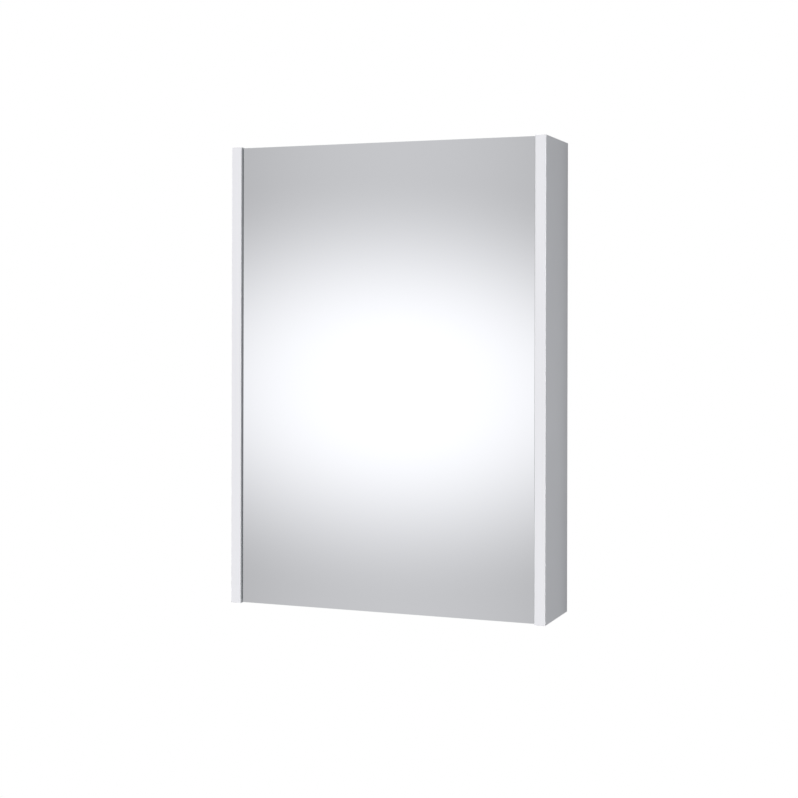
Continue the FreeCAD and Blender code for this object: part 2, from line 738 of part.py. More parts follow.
def hinge_arm(hinge, height):
    """Pressed channel that sits over the plate, with a nose that carries the link's pin."""
    tip = "arm_pin_x + nose_reach"
    crown = "arm_pin_y + nose_reach"
    points = [("arm_foot", "arm_rear"), ("arm_face", "arm_rear"), ("arm_face", "nose_root_y"),
              ("arm_pin_x + link_boss / 2 + arm_wall", f"{crown} + arm_wall"),
              (f"{tip} + arm_wall", "arm_pin_y + link_boss / 2 + arm_wall"),
              (f"{tip} + arm_wall", "arm_pin_y - nose_reach"),
              ("arm_pin_x - nose_reach", "arm_pin_y - nose_reach"),
              ("arm_face", "arm_pin_y - 2 * nose_reach"), ("arm_foot", "arm_pin_y - 2 * nose_reach")]
    inner = [("arm_foot - 1", "arm_rear - arm_wall"), ("arm_inside", "arm_rear - arm_wall"),
             ("arm_inside", "nose_root_y - arm_wall"), ("arm_pin_x + link_boss / 2", crown),
             (tip, "arm_pin_y + link_boss / 2"), (tip, "arm_pin_y - nose_reach - 1"),
             ("arm_pin_x - nose_reach", "arm_pin_y - 3 * nose_reach"),
             ("arm_foot - 1", "arm_pin_y - 4 * nose_reach")]
    channel = padded_body(f"arm_{hinge}_channel", "XY_Plane", points, "arm_width")
    core = padded_body(f"arm_{hinge}_core", "XY_Plane", inner, "arm_width - 2 * arm_wall")
    for body in (channel, core):
        bind(body, "Placement.Base.z", height)
    tools = [core]
    for spot, depth in enumerate(arm_screw_depths()):
        tools.append(rod(f"arm_{hinge}_screw_hole_{spot}", "x", ("arm_inside - 1", depth, height),
                         "arm_wall + 2", "wood_screw_diameter + 2 * fit_gap"))
    tools.append(rod(f"arm_{hinge}_pin_hole", "z",
                     ("arm_pin_x", "arm_pin_y", f"{height} - arm_width / 2 - 1"),
                     "arm_width + 2", "arm_pin_diameter + 2 * fit_gap"))
    node(cut(f"arm_{hinge}_cut", channel, tools), "hinge_arm_" + hinge)


def arm_cover(hinge, height):
    """Clip-on cap over the arm's screws."""
    clear = "arm_face + screw_head_height + fit_gap"
    ends = ("nose_root_y + nose_gap", "arm_rear + fit_gap + arm_cover_thick")
    cap = block(f"cover_{hinge}_outside", ("arm_face - 3", f"{clear} + arm_cover_thick"), ends,
                (f"{height} - arm_width / 2 - fit_gap - arm_cover_thick",
                 f"{height} + arm_width / 2 + fit_gap + arm_cover_thick"))
    hollow = block(f"cover_{hinge}_inside", ("arm_face - 4", clear),
                   (f"{ends[0]} - 1", "arm_rear + fit_gap"),
                   (f"{height} - arm_width / 2 - fit_gap", f"{height} + arm_width / 2 + fit_gap"))
    node(cut(f"cover_{hinge}", cap, [hollow]), "arm_cover_" + hinge)


def hinge_fasteners():
    """Pins and screws of both hinges."""
    plate_screws = []
    arm_screws = []
    arm_pins = []
    cup_pins = []
    cup_screws = []
    for hinge, height in HINGES:
        for step in (-1, 1):
            spot = f"{height} + {step} * plate_screw_spacing / 2"
            tag = f"{hinge}_{step + 1}"
            shank = rod_x("plate_shank_" + tag, -1, "inner_half - plate_thick",
                          "inner_half - plate_thick + wood_screw_length", "plate_y", spot,
                          "wood_screw_diameter")
            head = rod_x("plate_head_" + tag, -1, "inner_half - plate_thick - screw_head_height",
                         "inner_half - plate_thick", "plate_y", spot, "screw_head_diameter")
            plate_screws.append(fuse("plate_screw_" + tag, [shank, head]))
            spot = f"{height} + {step} * flange_screw_z"
            across = "cup_x + flange_screw_offset"
            shank = rod("cup_shank_" + tag, "y",
                        (across, "door_back + flange_thick - wood_screw_length", spot),
                        "wood_screw_length", "wood_screw_diameter")
            head = rod("cup_head_" + tag, "y", (across, "door_back + flange_thick", spot),
                       "screw_head_height", "screw_head_diameter")
            cup_screws.append(fuse("cup_screw_" + tag, [shank, head]))
        for spot, depth in enumerate(arm_screw_depths()):
            tag = f"{hinge}_{spot}"
            shank = rod("arm_shank_" + tag, "x", ("plate_face", depth, height),
                        "arm_face - plate_face", "wood_screw_diameter")
            head = rod("arm_head_" + tag, "x", ("arm_face", depth, height), "screw_head_height",
                       "screw_head_diameter")
            arm_screws.append(fuse("arm_screw_" + tag, [shank, head]))
        arm_pins.append(rod("arm_pin_" + hinge, "z", ("arm_pin_x", "arm_pin_y", f"{height} - arm_width / 2"),
                            "arm_width", "arm_pin_diameter"))
        cup_pins.append(rod("cup_pin_" + hinge, "z", ("cup_pin_x", "cup_pin_y", f"{height} - cup_pin_half"),
                            "2 * cup_pin_half", "cup_pin_diameter"))
    node(group("plate_screw_group", plate_screws), "hinge_plate_screws")
    node(group("arm_screw_group", arm_screws), "hinge_arm_screws")
    node(group("arm_pin_group", arm_pins), "hinge_arm_pins")
    node(group("cup_pin_group", cup_pins), "hinge_cup_pins")
    node(group("cup_screw_group", cup_screws), "hinge_cup_screws")


# Door

def door_ring(name, depth, outer_inset, inner_inset):
    """A rectangular ring parallel to the door, between two insets from the door's edges."""
    solids = []
    for part, inset, reach in (("outer", outer_inset, "0"), ("inner", inner_inset, "1")):
        solids.append(block(f"{name}_{part}", (f"-(door_half - {inset})", f"door_half - {inset}"),
                            (f"{depth[0]} - {reach}", f"{depth[1]} + {reach}"),
                            (f"door_bottom + {inset}", f"door_top - {inset}")))
    return cut(name + "_ring", solids[0], [solids[1]])


def door_panel():
    """Door board with a round boring and two screw bores for each hinge cup."""
    edge = "(door_half - edging_thick)"
    board = block("door_board_blank", ("-" + edge, edge), ("board_front", "door_back"),
                  ("door_bottom + edging_thick", "door_top - edging_thick"))
    tools = []
    for hinge, height in HINGES:
        tools.append(rod(f"door_boring_{hinge}", "y", ("cup_x", "door_back - cup_depth", height),
                         "cup_depth + 1", "cup_diameter"))
        for step in (-1, 1):
            tools.append(rod(f"door_screw_bore_{hinge}_{step + 1}", "y",
                             ("cup_x + flange_screw_offset",
                              "door_back + flange_thick - wood_screw_length - fit_gap",
                              f"{height} + {step} * flange_screw_z"),
                             "wood_screw_length", "wood_screw_diameter + 2 * fit_gap"))
    node(cut("door_board_cut", board, tools), "door_panel")


def mirror_glass():
    """Mirror over the whole door, with its front edges arrissed."""
    corners = [("-door_half", "-(door_top - door_bottom) / 2"), ("door_half", "-(door_top - door_bottom) / 2"),
               ("door_half", "(door_top - door_bottom) / 2"), ("-door_half", "(door_top - door_bottom) / 2")]
    body = padded_body("mirror_glass_body", "XZ_Plane", corners, "glass_thick")
    bind(body, "Placement.Base.y", "(glass_front + glass_back) / 2")
    bind(body, "Placement.Base.z", "(door_top + door_bottom) / 2")
    doc.recompute()
    pad = body.Tip
    front = min(range(len(pad.Shape.Faces)), key=lambda row: pad.Shape.Faces[row].CenterOfMass.y)
    arris = body.newObject("PartDesign::Chamfer", "mirror_glass_arris")
    arris.Base = (pad, [f"Face{front + 1}"])
    bind(arris, "Size", "glass_arris")
    node(body, "mirror_glass")


def door_bumpers():
    """Two soft buffers on the free side, which meet the top and bottom panels."""
    buffers = []
    for level, mid in (("top", "top_mid"), ("bottom", "bottom_mid")):
        buffers.append(rod("bumper_" + level, "y", ("door_half - bumper_inset", "door_back", mid),
                           "bumper_gap - bumper_play", "bumper_diameter"))
    node(group("bumper_group", buffers), "door_bumpers")


# Assembly

for side_name, side in SIDES:
    side_panel(side_name, side)
cross_panel("top", "ceiling_z", "top_z", "top_mid", "top_z - cam_cover_thick - cam_height - fit_gap", "top_z")
cross_panel("bottom", "floor_z - board_thick", "floor_z", "bottom_mid", "floor_z - board_thick",
            "floor_z - board_thick + cam_cover_thick + cam_height + fit_gap")
panel_edging()
back_panel()
corner_fittings()
shelves()
for side_name, side in SIDES:
    hanger(side_name, side)
hanger_screws()
wall_rail()
for hinge, height in HINGES:
    hinge_plate(hinge, height)
    hinge_arm(hinge, height)
    arm_cover(hinge, height)
    hinge_link(hinge, height)
    hinge_cup(hinge, height)
hinge_fasteners()
door_panel()
node(door_ring("door_edging", ("board_front", "door_back"), "0", "edging_thick"), "door_edging")
node(door_ring("mirror_tape", ("glass_back", "board_front"), "tape_inset", "(tape_inset + tape_width)"),
     "mirror_tape")
mirror_glass()
door_bumpers()

doc.recompute()
for thing in doc.Objects:
    if "Invalid" in thing.State or "Error" in thing.State:
        raise RuntimeError(f"{thing.Name} did not compute: {thing.State}")
for thing in nodes:
    if thing.Shape.isNull() or not thing.Shape.isValid():
        raise RuntimeError(f"{thing.Label} has no valid shape")

os.makedirs("parts", exist_ok=True)
for thing in nodes:
    thing.Shape.exportStep(f"parts/{thing.Label}.step")
print(len(nodes), "sub-parts written")
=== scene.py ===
import math

import bmesh
import bpy
import numpy as np
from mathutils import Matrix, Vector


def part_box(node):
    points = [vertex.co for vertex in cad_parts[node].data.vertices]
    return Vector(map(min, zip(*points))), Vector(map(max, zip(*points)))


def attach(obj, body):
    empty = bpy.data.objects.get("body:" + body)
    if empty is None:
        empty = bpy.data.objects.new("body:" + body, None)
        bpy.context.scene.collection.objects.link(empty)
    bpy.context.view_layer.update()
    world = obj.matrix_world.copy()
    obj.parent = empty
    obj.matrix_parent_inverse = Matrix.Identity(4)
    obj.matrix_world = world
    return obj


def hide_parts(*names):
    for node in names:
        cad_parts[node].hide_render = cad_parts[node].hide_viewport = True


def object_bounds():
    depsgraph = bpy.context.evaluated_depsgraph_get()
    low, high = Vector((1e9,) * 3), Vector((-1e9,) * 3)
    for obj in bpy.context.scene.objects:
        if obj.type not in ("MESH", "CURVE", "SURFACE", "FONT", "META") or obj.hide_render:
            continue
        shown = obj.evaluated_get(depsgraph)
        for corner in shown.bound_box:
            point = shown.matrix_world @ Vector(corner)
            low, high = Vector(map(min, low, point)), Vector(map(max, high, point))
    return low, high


bl_info = {
    "name": "Mirror Cabinet",
    "version": (1, 0, 0),
    "blender": (4, 5, 0),
    "location": "View3D > Sidebar > Cabinet",
    "description": "Finishes a wall-hung mirror cabinet: boards, mirror, shelves, hinges and hangers",
    "category": "Object",
}

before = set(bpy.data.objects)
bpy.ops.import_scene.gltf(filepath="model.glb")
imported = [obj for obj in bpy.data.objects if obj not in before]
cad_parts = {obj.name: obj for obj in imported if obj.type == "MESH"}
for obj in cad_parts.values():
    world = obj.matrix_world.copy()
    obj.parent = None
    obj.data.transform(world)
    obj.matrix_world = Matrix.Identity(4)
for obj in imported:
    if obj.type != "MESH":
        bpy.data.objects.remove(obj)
CAD_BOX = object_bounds()
MM = 0.001
AXES = {"x": 0, "y": 1, "z": 2}
TOWARDS = 0.5           # a face looks a way where its normal has more than this much of it
EDGING = {"side_edging_left": "z", "side_edging_right": "z", "panel_edging": "x"}


def linear(code):
    """An sRGB hex colour as linear red, green and blue."""
    shares = [int(code[place:place + 2], 16) / 255 for place in (0, 2, 4)]
    return tuple(s / 12.92 if s <= 0.04045 else ((s + 0.055) / 1.055) ** 2.4 for s in shares)


# Sizes and colours that a user may change

def colour(title, about, code):
    """A setting for a colour, given as sRGB hex."""
    return bpy.props.FloatVectorProperty(name=title, description=about, default=linear(code),
                                         subtype="COLOR", size=3, min=0, max=1)


def length(title, about, millimetres):
    """A setting for a length, given in millimetres."""
    return bpy.props.FloatProperty(name=title, description=about, default=millimetres * MM,
                                   unit="LENGTH", subtype="DISTANCE", min=0)


def amount(title, about, default):
    """A setting for the strength of a light."""
    return bpy.props.FloatProperty(name=title, description=about, default=default, min=0, soft_max=5)


class CabinetColours(bpy.types.PropertyGroup):
    """Colours of the cabinet's finishes."""
    board: colour("Board", "Melamine skin of the panels", "E4E6EB")
    edging: colour("Edging", "ABS strip on the front edges", "EAEAEE")
    chipboard: colour("Chipboard", "Core that shows in bores and grooves", "C2A27A")
    hardboard: colour("Hardboard", "Raw rear of the back panel", "A5845F")
    silver: colour("Silver", "Silver layer behind the mirror glass", "F8F8F9")
    # The arris's pale colour is partly painted reflection: it stands in for the glint of the silver seen
    # through the polished arris.
    arris: colour("Arris", "Polished arris round the front of the mirror", "E9EFED")
    ground: colour("Ground edge", "Ground sides of the mirror", "B2BCB9")
    glass_edge: colour("Glass edge", "Edge of the shelves", "7FB8A4")
    backing: colour("Backing paint", "Paint on the back of the mirror", "6E7780")
    nickel: colour("Nickel", "Pressed and plated hinge steel", "C6C4C0")
    zinc: colour("Zinc", "Bright zinc on screws, hooks and rail", "C2C7CD")
    cast: colour("Cast zinc", "Mounting plates, links and cams", "AEB0B2")
    white_plastic: colour("White plastic", "Hanger boxes and caps", "E9E9E6")
    grey_plastic: colour("Grey plastic", "Caps over the hinge arms", "B4B6B9")
    beech: colour("Beech", "Dowels in the corners", "CDA878")
    foam: colour("Foam", "Tape that holds the mirror", "26272A")
    buffer: colour("Buffer", "Clear pads on the door", "F4F5F3")
    shelf: colour("Shelf glass", "Clear glass of the shelves", "FBFDFC")


class CabinetShape(bpy.types.PropertyGroup):
    """Small radii and depths of the finished pieces."""
    strip_round: length("Edging radius", "Rounded corner of the edging strips", 0.4)
    board_edge: length("Board edge", "Softened edge of the coated boards", 0.3)
    sawn_edge: length("Sawn edge", "Broken edge of sawn and slit sheets", 0.1)
    arris: length("Arris", "Polished chamfer at the front of the mirror", 0.2)
    metal_edge: length("Metal edge", "Broken edge of pressed and cast metal", 0.22)
    plastic_edge: length("Plastic edge", "Broken edge of moulded plastic", 0.2)
    cap_round: length("Cap radius", "Rounded outer edges of moulded caps", 0.9)
    recess: length("Cross recess", "Depth of the recess in a screw head", 1.1)
    head: length("Screw head", "Height of a screw head", 1.8)
    shank: length("Screw shank", "Radius over the thread", 2.0)
    pitch: length("Thread pitch", "Distance from thread to thread", 1.4)
    flute: length("Dowel flute", "Depth of the flutes along a dowel", 0.25)


class CabinetStudio(bpy.types.PropertyGroup):
    """Light and lens."""
    key: amount("Key light", "Strength of the soft light from the front", 1.95)
    fill: amount("Fill", "Even light from all round", 0.41)
    dim: amount("Grey", "What gloss shows between the soft boxes", 0.623)
    edge: bpy.props.FloatProperty(name="Edge light", description="Lamp that draws the edging's corners",
                                  default=340, min=0, unit="POWER")
    glow: amount("Glow", "What a soft box adds to that at its middle", 0.515)
    lens: bpy.props.FloatProperty(name="Lens", description="Focal length", default=70.24, min=10,
                                  subtype="DISTANCE_CAMERA")


# Node trees and finishes

def put(tree, kind, inputs=None, **settings):
    """Adds a node with its settings. An input takes a value, a socket, or a node's first output."""
    node = tree.nodes.new(kind)
    for name, setting in settings.items():
        setattr(node, name, setting)
    for name, given in (inputs or {}).items():
        if isinstance(given, bpy.types.Node):
            given = given.outputs[0]
        if isinstance(given, bpy.types.NodeSocket):
            tree.links.new(given, node.inputs[name])
        else:
            node.inputs[name].default_value = given
    return node


def blank(name):
    """A material with an empty node tree."""
    material = bpy.data.materials.new(name)
    material.use_nodes = True
    material.node_tree.nodes.clear()
    return material, material.node_tree


def scaled(shade, factor):
    """A shade made lighter or darker by a factor, no lighter than white."""
    return tuple(min(1.0, channel * factor) for channel in shade[:3]) + (1.0,)


NOISE_LOW = 0.3         # noise up to here gives the first tone or gloss
NOISE_HIGH = 0.7        # and from here on the second
NOISE_DETAIL = 3.0
RELIEF_STRENGTH = 0.7


def finish(name, shade, tones, mottle, grain, gloss, relief, stretch=(1, 1, 1), **sockets):
    """A finish in Object coordinates, with lengths in millimetres.

    Mottling of the width mottle moves the shade between the two tones. Grain of the width
    grain, drawn out where stretch is small, moves the roughness between the two values of
    gloss and raises the surface by relief. Other sockets of the shader take plain values.
    """
    material, tree = blank(name)
    place = put(tree, "ShaderNodeTexCoord").outputs["Object"]
    drawn = put(tree, "ShaderNodeMapping", {"Vector": place, "Scale": stretch})
    wide, fine = (put(tree, "ShaderNodeTexNoise", {"Vector": drawn, "Scale": 1 / (width * MM),
                                                   "Detail": NOISE_DETAIL}) for width in (mottle, grain))
    share = put(tree, "ShaderNodeMapRange", {"Value": wide, "From Min": NOISE_LOW, "From Max": NOISE_HIGH})
    tint = put(tree, "ShaderNodeMix", {"Factor": share}, data_type="RGBA")
    tint.inputs["A"].default_value = scaled(shade, tones[0])
    tint.inputs["B"].default_value = scaled(shade, tones[1])
    rough = put(tree, "ShaderNodeMapRange", {"Value": fine, "From Min": NOISE_LOW, "From Max": NOISE_HIGH,
                                             "To Min": gloss[0], "To Max": gloss[1]})
    shader = put(tree, "ShaderNodeBsdfPrincipled",
                 {"Base Color": tint.outputs["Result"], "Roughness": rough, **sockets})
    if relief:
        raised = put(tree, "ShaderNodeBump", {"Height": fine, "Distance": relief * MM,
                                              "Strength": RELIEF_STRENGTH})
        tree.links.new(raised.outputs[0], shader.inputs["Normal"])
    put(tree, "ShaderNodeOutputMaterial", {"Surface": shader})
    return material


def melamine(colours):
    # Melamine-coated chipboard, pressed between textured plates: an even white skin with a
    # satin sheen that fine pearl grain breaks up. The grain is drawn a little coarser than
    # the real 0.5 mm so that it shows in a near view.
    return finish("melamine_white_pearl", colours.board, tones=(0.99, 1.01), mottle=70, grain=1.2,
                  gloss=(0.38, 0.48), relief=0.025, IOR=1.6)


def abs_edging(colours):
    # Extruded ABS edging: smoother than the board, with faint draw lines along its length.
    return finish("abs_edging_extruded", colours.edging, tones=(0.995, 1.003), mottle=40, grain=1.0,
                  gloss=(0.3, 0.36), relief=0.006, stretch=(1, 1, 0.04), IOR=1.53)


def chipboard(colours):
    # Raw chipboard, cut by a drill: coarse wood chips in several browns, rough and open.
    return finish("chipboard_raw_cut", colours.chipboard, tones=(0.7, 1.15), mottle=2.5, grain=1.1,
                  gloss=(0.75, 0.95), relief=0.15, IOR=1.45)


SCREEN = 3.2            # from pillow to pillow, in millimetres
SCREEN_DEPTH = 0.12


def hardboard(colours):
    # Wet-pressed hardboard, rear side: felted brown fibres, pressed into a grid of small
    # pillows by the wire screen. The screen's real 1.6 mm is drawn twice as coarse, so that
    # it shows.
    material = finish("hardboard_screen_side", colours.hardboard, tones=(0.84, 1.1), mottle=9, grain=1.3,
                      gloss=(0.75, 0.9), relief=0.09, IOR=1.45)
    tree = material.node_tree
    shader = tree.nodes["Principled BSDF"]
    fibres = shader.inputs["Normal"].links[0].from_node
    place = put(tree, "ShaderNodeSeparateXYZ", {0: put(tree, "ShaderNodeTexCoord").outputs["Object"]})
    turns = [put(tree, "ShaderNodeMath", {0: place.outputs[side], 1: 2 * math.pi / (SCREEN * MM)},
                 operation="MULTIPLY") for side in (0, 2)]
    waves = [put(tree, "ShaderNodeMath", {0: turn}, operation="SINE") for turn in turns]
    pillows = put(tree, "ShaderNodeMath", {0: waves[0], 1: waves[1]}, operation="MULTIPLY")
    pressed_in = put(tree, "ShaderNodeBump", {"Height": pillows, "Distance": SCREEN_DEPTH * MM,
                                              "Strength": 1.0, "Normal": fibres})
    tree.links.new(pressed_in.outputs[0], shader.inputs["Normal"])
    return material


def lacquered_hardboard(colours):
    # Roller-coated lacquer on the smooth side of the hardboard: white with a faint fibre relief.
    return finish("hardboard_white_lacquer", colours.board, tones=(0.975, 1.0), mottle=25, grain=1.1,
                  gloss=(0.42, 0.55), relief=0.02, IOR=1.5)


def silvered_glass(colours):
    # Silvered float glass: a mirror with next to no blur and the faintest waviness of tone.
    return finish("silvered_float_glass", colours.silver, tones=(0.998, 1.0), mottle=240, grain=120,
                  gloss=(0.012, 0.02), relief=0, Metallic=1.0)


def arris_with_painted_glint(colours):
    # Arris of the mirror, polished with felt: smooth glass over the silver. Its pale colour is partly the
    # glass's own and partly a painted reflection, standing in for the bright glint of the silver seen
    # through the arris.
    return finish("glass_polished_arris", colours.arris, tones=(0.98, 1.01), mottle=8, grain=0.6,
                  gloss=(0.1, 0.2), relief=0.004, stretch=(1, 1, 0.2), IOR=1.52)


def ground_edge(colours):
    # Sides of the mirror, ground with a fine wheel: matt and a little green.
    return finish("glass_fine_ground", colours.ground, tones=(0.96, 1.02), mottle=6, grain=0.6,
                  gloss=(0.3, 0.45), relief=0.01, stretch=(1, 1, 0.2), IOR=1.52)


def backing_paint(colours):
    # Curtain-coated paint that guards the silver: dense blue-grey with slight orange peel.
    return finish("mirror_backing_paint", colours.backing, tones=(0.95, 1.05), mottle=30, grain=2.2,
                  gloss=(0.4, 0.5), relief=0.02, IOR=1.5)


def clear_glass(colours):
    # Toughened clear glass of the shelves: smooth faces that pass nearly all the light.
    return finish("toughened_clear_glass", colours.shelf, tones=(0.995, 1.0), mottle=80, grain=35,
                  gloss=(0.0, 0.02), relief=0, **{"IOR": 1.52, "Transmission Weight": 1.0})


def polished_edge(colours):
    # Polished edge of a glass shelf, where the long path through the glass turns it green.
    return finish("glass_polished_edge", colours.glass_edge, tones=(0.85, 1.1), mottle=4, grain=0.7,
                  gloss=(0.08, 0.2), relief=0.006, stretch=(0.1, 1, 1),
                  **{"IOR": 1.52, "Transmission Weight": 0.4})


def nickel_plate(colours):
    # Pressed steel, barrelled and nickel plated: a warm bright metal with soft blur and
    # faint drawing marks along the press direction.
    return finish("nickel_plated_steel", colours.nickel, tones=(0.96, 1.02), mottle=12, grain=0.8,
                  gloss=(0.2, 0.28), relief=0.0015, stretch=(1, 0.15, 1), Metallic=1.0)


def zinc_plate(colours):
    # Bright zinc with blue passivation: cooler than nickel, with a fine crystalline haze.
    return finish("bright_zinc_plate", colours.zinc, tones=(0.9, 1.05), mottle=7, grain=0.9,
                  gloss=(0.27, 0.42), relief=0.008, Metallic=1.0)


def die_cast_zinc(colours):
    # Tumbled die-cast zinc: greyer, with a slightly uneven skin from the mould.
    return finish("die_cast_zinc_tumbled", colours.cast, tones=(0.9, 1.05), mottle=8, grain=0.8,
                  gloss=(0.36, 0.5), relief=0.02, Metallic=1.0)


def white_plastic(colours):
    # Injection-moulded polyamide from an eroded mould: warm white with a fine matt texture.
    return finish("polyamide_moulded_white", colours.white_plastic, tones=(0.98, 1.01), mottle=18,
                  grain=0.7, gloss=(0.4, 0.52), relief=0.02, IOR=1.53)


def grey_plastic(colours):
    # Injection-moulded cap in light grey, a little glossier than the white boxes.
    return finish("polyamide_moulded_grey", colours.grey_plastic, tones=(0.97, 1.02), mottle=16,
                  grain=0.6, gloss=(0.32, 0.44), relief=0.015, IOR=1.53)


def beech(colours):
    # Beech dowel rod, milled along its length: straight grain in pinkish brown.
    return finish("beech_dowel_fluted", colours.beech, tones=(0.8, 1.1), mottle=1.2, grain=0.5,
                  gloss=(0.55, 0.7), relief=0.05, stretch=(0.06, 1, 1), IOR=1.45)


def foam(colours):
    # Closed-cell foam tape, slit to width: matt near-black with fine open cells at the cut.
    return finish("foam_tape_slit", colours.foam, tones=(0.7, 1.5), mottle=0.8, grain=0.5,
                  gloss=(0.75, 0.9), relief=0.06, IOR=1.45)


def clear_buffer(colours):
    # Cast clear polyurethane: soft, a little cloudy, glossy on its dome.
    return finish("polyurethane_clear_cast", colours.buffer, tones=(0.97, 1.0), mottle=5, grain=2.5,
                  gloss=(0.1, 0.2), relief=0.01, **{"IOR": 1.49, "Transmission Weight": 0.85})


MADE = {}


def finished(maker):
    """The material of a maker above, made when it is first asked for."""
    if maker not in MADE:
        MADE[maker] = maker(bpy.context.scene.cabinet_colours)
    return MADE[maker]


# Grids of points. Each is rows of points that go round a closed line. A row that has shrunk
# to one place closes an end, and merging turns it into a single corner.

def placed(along, one, other, axis):
    """Points from their distance along the axis and their distances along the two axes after it."""
    return np.roll(np.stack(np.broadcast_arrays(along, one, other), -1), AXES[axis], axis=-1)


def all_round(rows, count):
    """Pairs of a row's value and an angle, for so many angles round the whole circle."""
    return np.meshgrid(rows, np.linspace(0, 2 * np.pi, count, endpoint=False), indexing="ij")


def turned(profile, axis, start, way, count):
    """A turned form: each (radius, distance) of the profile goes round the axis.

    At angle a the point is start, plus way times the distance along the axis, plus the
    radius times cosine a and sine a across it.
    """
    radius, turn = all_round([radius for radius, distance in profile], count)
    distance = np.array([distance for radius, distance in profile])[:, None]
    return placed(distance * way, radius * np.cos(turn), radius * np.sin(turn), axis) + start


def pressed(height, radii, axis, start, way, count=64):
    """A height over a disc, with a straight wall down to the start plane and closed there.

    height takes the two distances from the disc's middle and gives the height at that point.
    """
    reach, turn = all_round(radii, count)
    one, other = reach * np.cos(turn), reach * np.sin(turn)
    grid = placed(height(one, other) * way, one, other, axis)
    foot = placed(0, one[-1:], other[-1:], axis)
    return np.concatenate([grid, foot, foot * 0]) + start


def rectangles(low, high, profile, axis):
    """Rectangles one behind the other: each (inset, depth) of the profile is one of them.

    Its corners are the box's corners moved inwards by the inset, at that depth along the axis.
    An inset of None is the middle of the rectangle, which closes the end.
    """
    k = AXES[axis]
    middle = (np.array(low) + np.array(high)) / 2
    half = (np.array(high) - np.array(low)) / 2
    grid = np.zeros((len(profile), 4, 3))
    grid[..., k] = np.array([depth for inset, depth in profile])[:, None]
    for side, signs in (((k + 1) % 3, (-1, 1, 1, -1)), ((k + 2) % 3, (-1, -1, 1, 1))):
        reach = np.array([0 if inset is None else half[side] - inset for inset, depth in profile])
        grid[..., side] = middle[side] + reach[:, None] * np.array(signs)
    return grid


def rounded_edge(front, back, radius, steps=6):
    """The profile of a plate's edge that is a quarter circle at its front and at its back."""
    turn = np.linspace(0, np.pi / 2, steps)
    inset = radius * (1 - np.sin(turn))
    depth = radius * (1 - np.cos(turn))
    return list(zip(inset, front + depth)) + list(zip(inset[::-1], back - depth[::-1]))


def rounded_strip(low, high, along, radius, steps=6):
    """A strip whose two long front corners are quarter circles.

    Its section runs from the back, round the two front corners, to the back again, and is
    carried along the strip. The ends are closed in the middle of the section.
    """
    a = AXES[along]
    across = 2 - a
    turn = np.linspace(0, np.pi / 2, steps + 1)
    inset, depth = radius * (1 - np.sin(turn)), radius * (1 - np.cos(turn))
    one = np.stack([low[across] + inset[::-1], low[1] + depth[::-1]], -1)
    other = np.stack([high[across] - inset, low[1] + depth], -1)
    section = np.concatenate([[[low[across], high[1]]], one, other, [[high[across], high[1]]]])
    centre = np.broadcast_to(section.mean(0), section.shape)
    grid = np.zeros((4, len(section), 3))
    for row, outline, level in ((0, centre, low[a]), (1, section, low[a]), (2, section, high[a]),
                                (3, centre, high[a])):
        grid[row, :, across] = outline[:, 0]
        grid[row, :, 1] = outline[:, 1]
        grid[row, :, a] = level
    return grid


def arc(centre_radius, centre_distance, radius, start, end, steps=6):
    """Points of a profile on a circle, between two angles in degrees."""
    turn = np.radians(np.linspace(start, end, steps))
    return list(zip(centre_radius + radius * np.cos(turn), centre_distance + radius * np.sin(turn)))


CROSS_HALF = 0.17       # half the width of the cross at the top, as a share of the head's radius
CROSS_WALL = 0.07       # width of the slope down to its floor
CROSS_REACH = 0.64
CROSS_END = 0.2         # length of the slope at the end of each arm
DOMED = 0.35            # fall from the middle of a head to its rim, as a share of its height
NEARLY_FLAT = 0.02
GRUB_HEAD = 0.5         # height and recess of a headless screw's end, beside those of a head
GRUB_SHANK = 0.97
# Rings of points on a head, as shares of its radius: close over the cross, then out to the rim.
HEAD_RINGS = np.concatenate([[0], np.linspace(0.04, 0.72, 18), [0.8, 0.88, 0.95, 1]])


def screw(low, high, axis, way, shape, headless=False):
    """Grids of a screw that fills its CAD box: a head with a cross recess, and a threaded shank.

    The head's height falls off with the fourth power of the distance from its middle, less
    the cross, whose sloping walls lie along both diameters.
    """
    k = AXES[axis]
    start = (low + high) / 2
    wide = (high[(k + 1) % 3] - low[(k + 1) % 3]) / 2
    size, fall = (GRUB_HEAD, NEARLY_FLAT) if headless else (1, DOMED)
    head = shape.head * size
    depth = shape.recess * size
    start[k] = (high[k] if way > 0 else low[k]) - way * head

    def height(one, other):
        distance = np.hypot(one, other) / wide
        narrow = np.minimum(abs(one), abs(other)) / wide
        walls = np.clip((CROSS_HALF - narrow) / CROSS_WALL, 0, 1)
        cross = walls * np.clip((CROSS_REACH - distance) / CROSS_END, 0, 1)
        return head * (1 - fall * distance ** 4) - depth * cross

    shank = wide * GRUB_SHANK if headless else shape.shank
    return [pressed(height, wide * HEAD_RINGS, axis, start, way),
            threaded(axis, start, shank, high[k] - low[k] - head, -way, shape.pitch)]


THREAD_ROOT = 0.78      # radius at the foot of a thread, as a share of that over it
THREAD_STEPS = 8        # rows of points in one pitch
LEAST_STEPS = 12
TIP_LENGTH = 0.25       # the part of a shank that thins, as a share of its length
TIP_RADIUS = 0.25


def threaded(axis, start, radius, reach, way, pitch, count=20):
    """A rod with a helical thread that thins towards its tip.

    At angle a and distance d the radius is highest where d over the pitch, less a over a full
    turn, is a whole number, and lowest half way between.
    """
    rows = max(LEAST_STEPS, int(reach / pitch * THREAD_STEPS))
    distance, turn = all_round(np.linspace(0, reach, rows), count)
    ridge = 2 * abs((distance / pitch - turn / (2 * np.pi)) % 1 - 0.5)
    tip = np.clip((reach - distance) / (reach * TIP_LENGTH), TIP_RADIUS, 1)
    local = radius * tip * (THREAD_ROOT + (1 - THREAD_ROOT) * ridge ** 2)
    grid = placed(distance * way, local * np.cos(turn), local * np.sin(turn), axis)
    middle = placed(distance * way, 0, 0, axis)
    return np.concatenate([middle[:1], grid, middle[-1:]]) + start


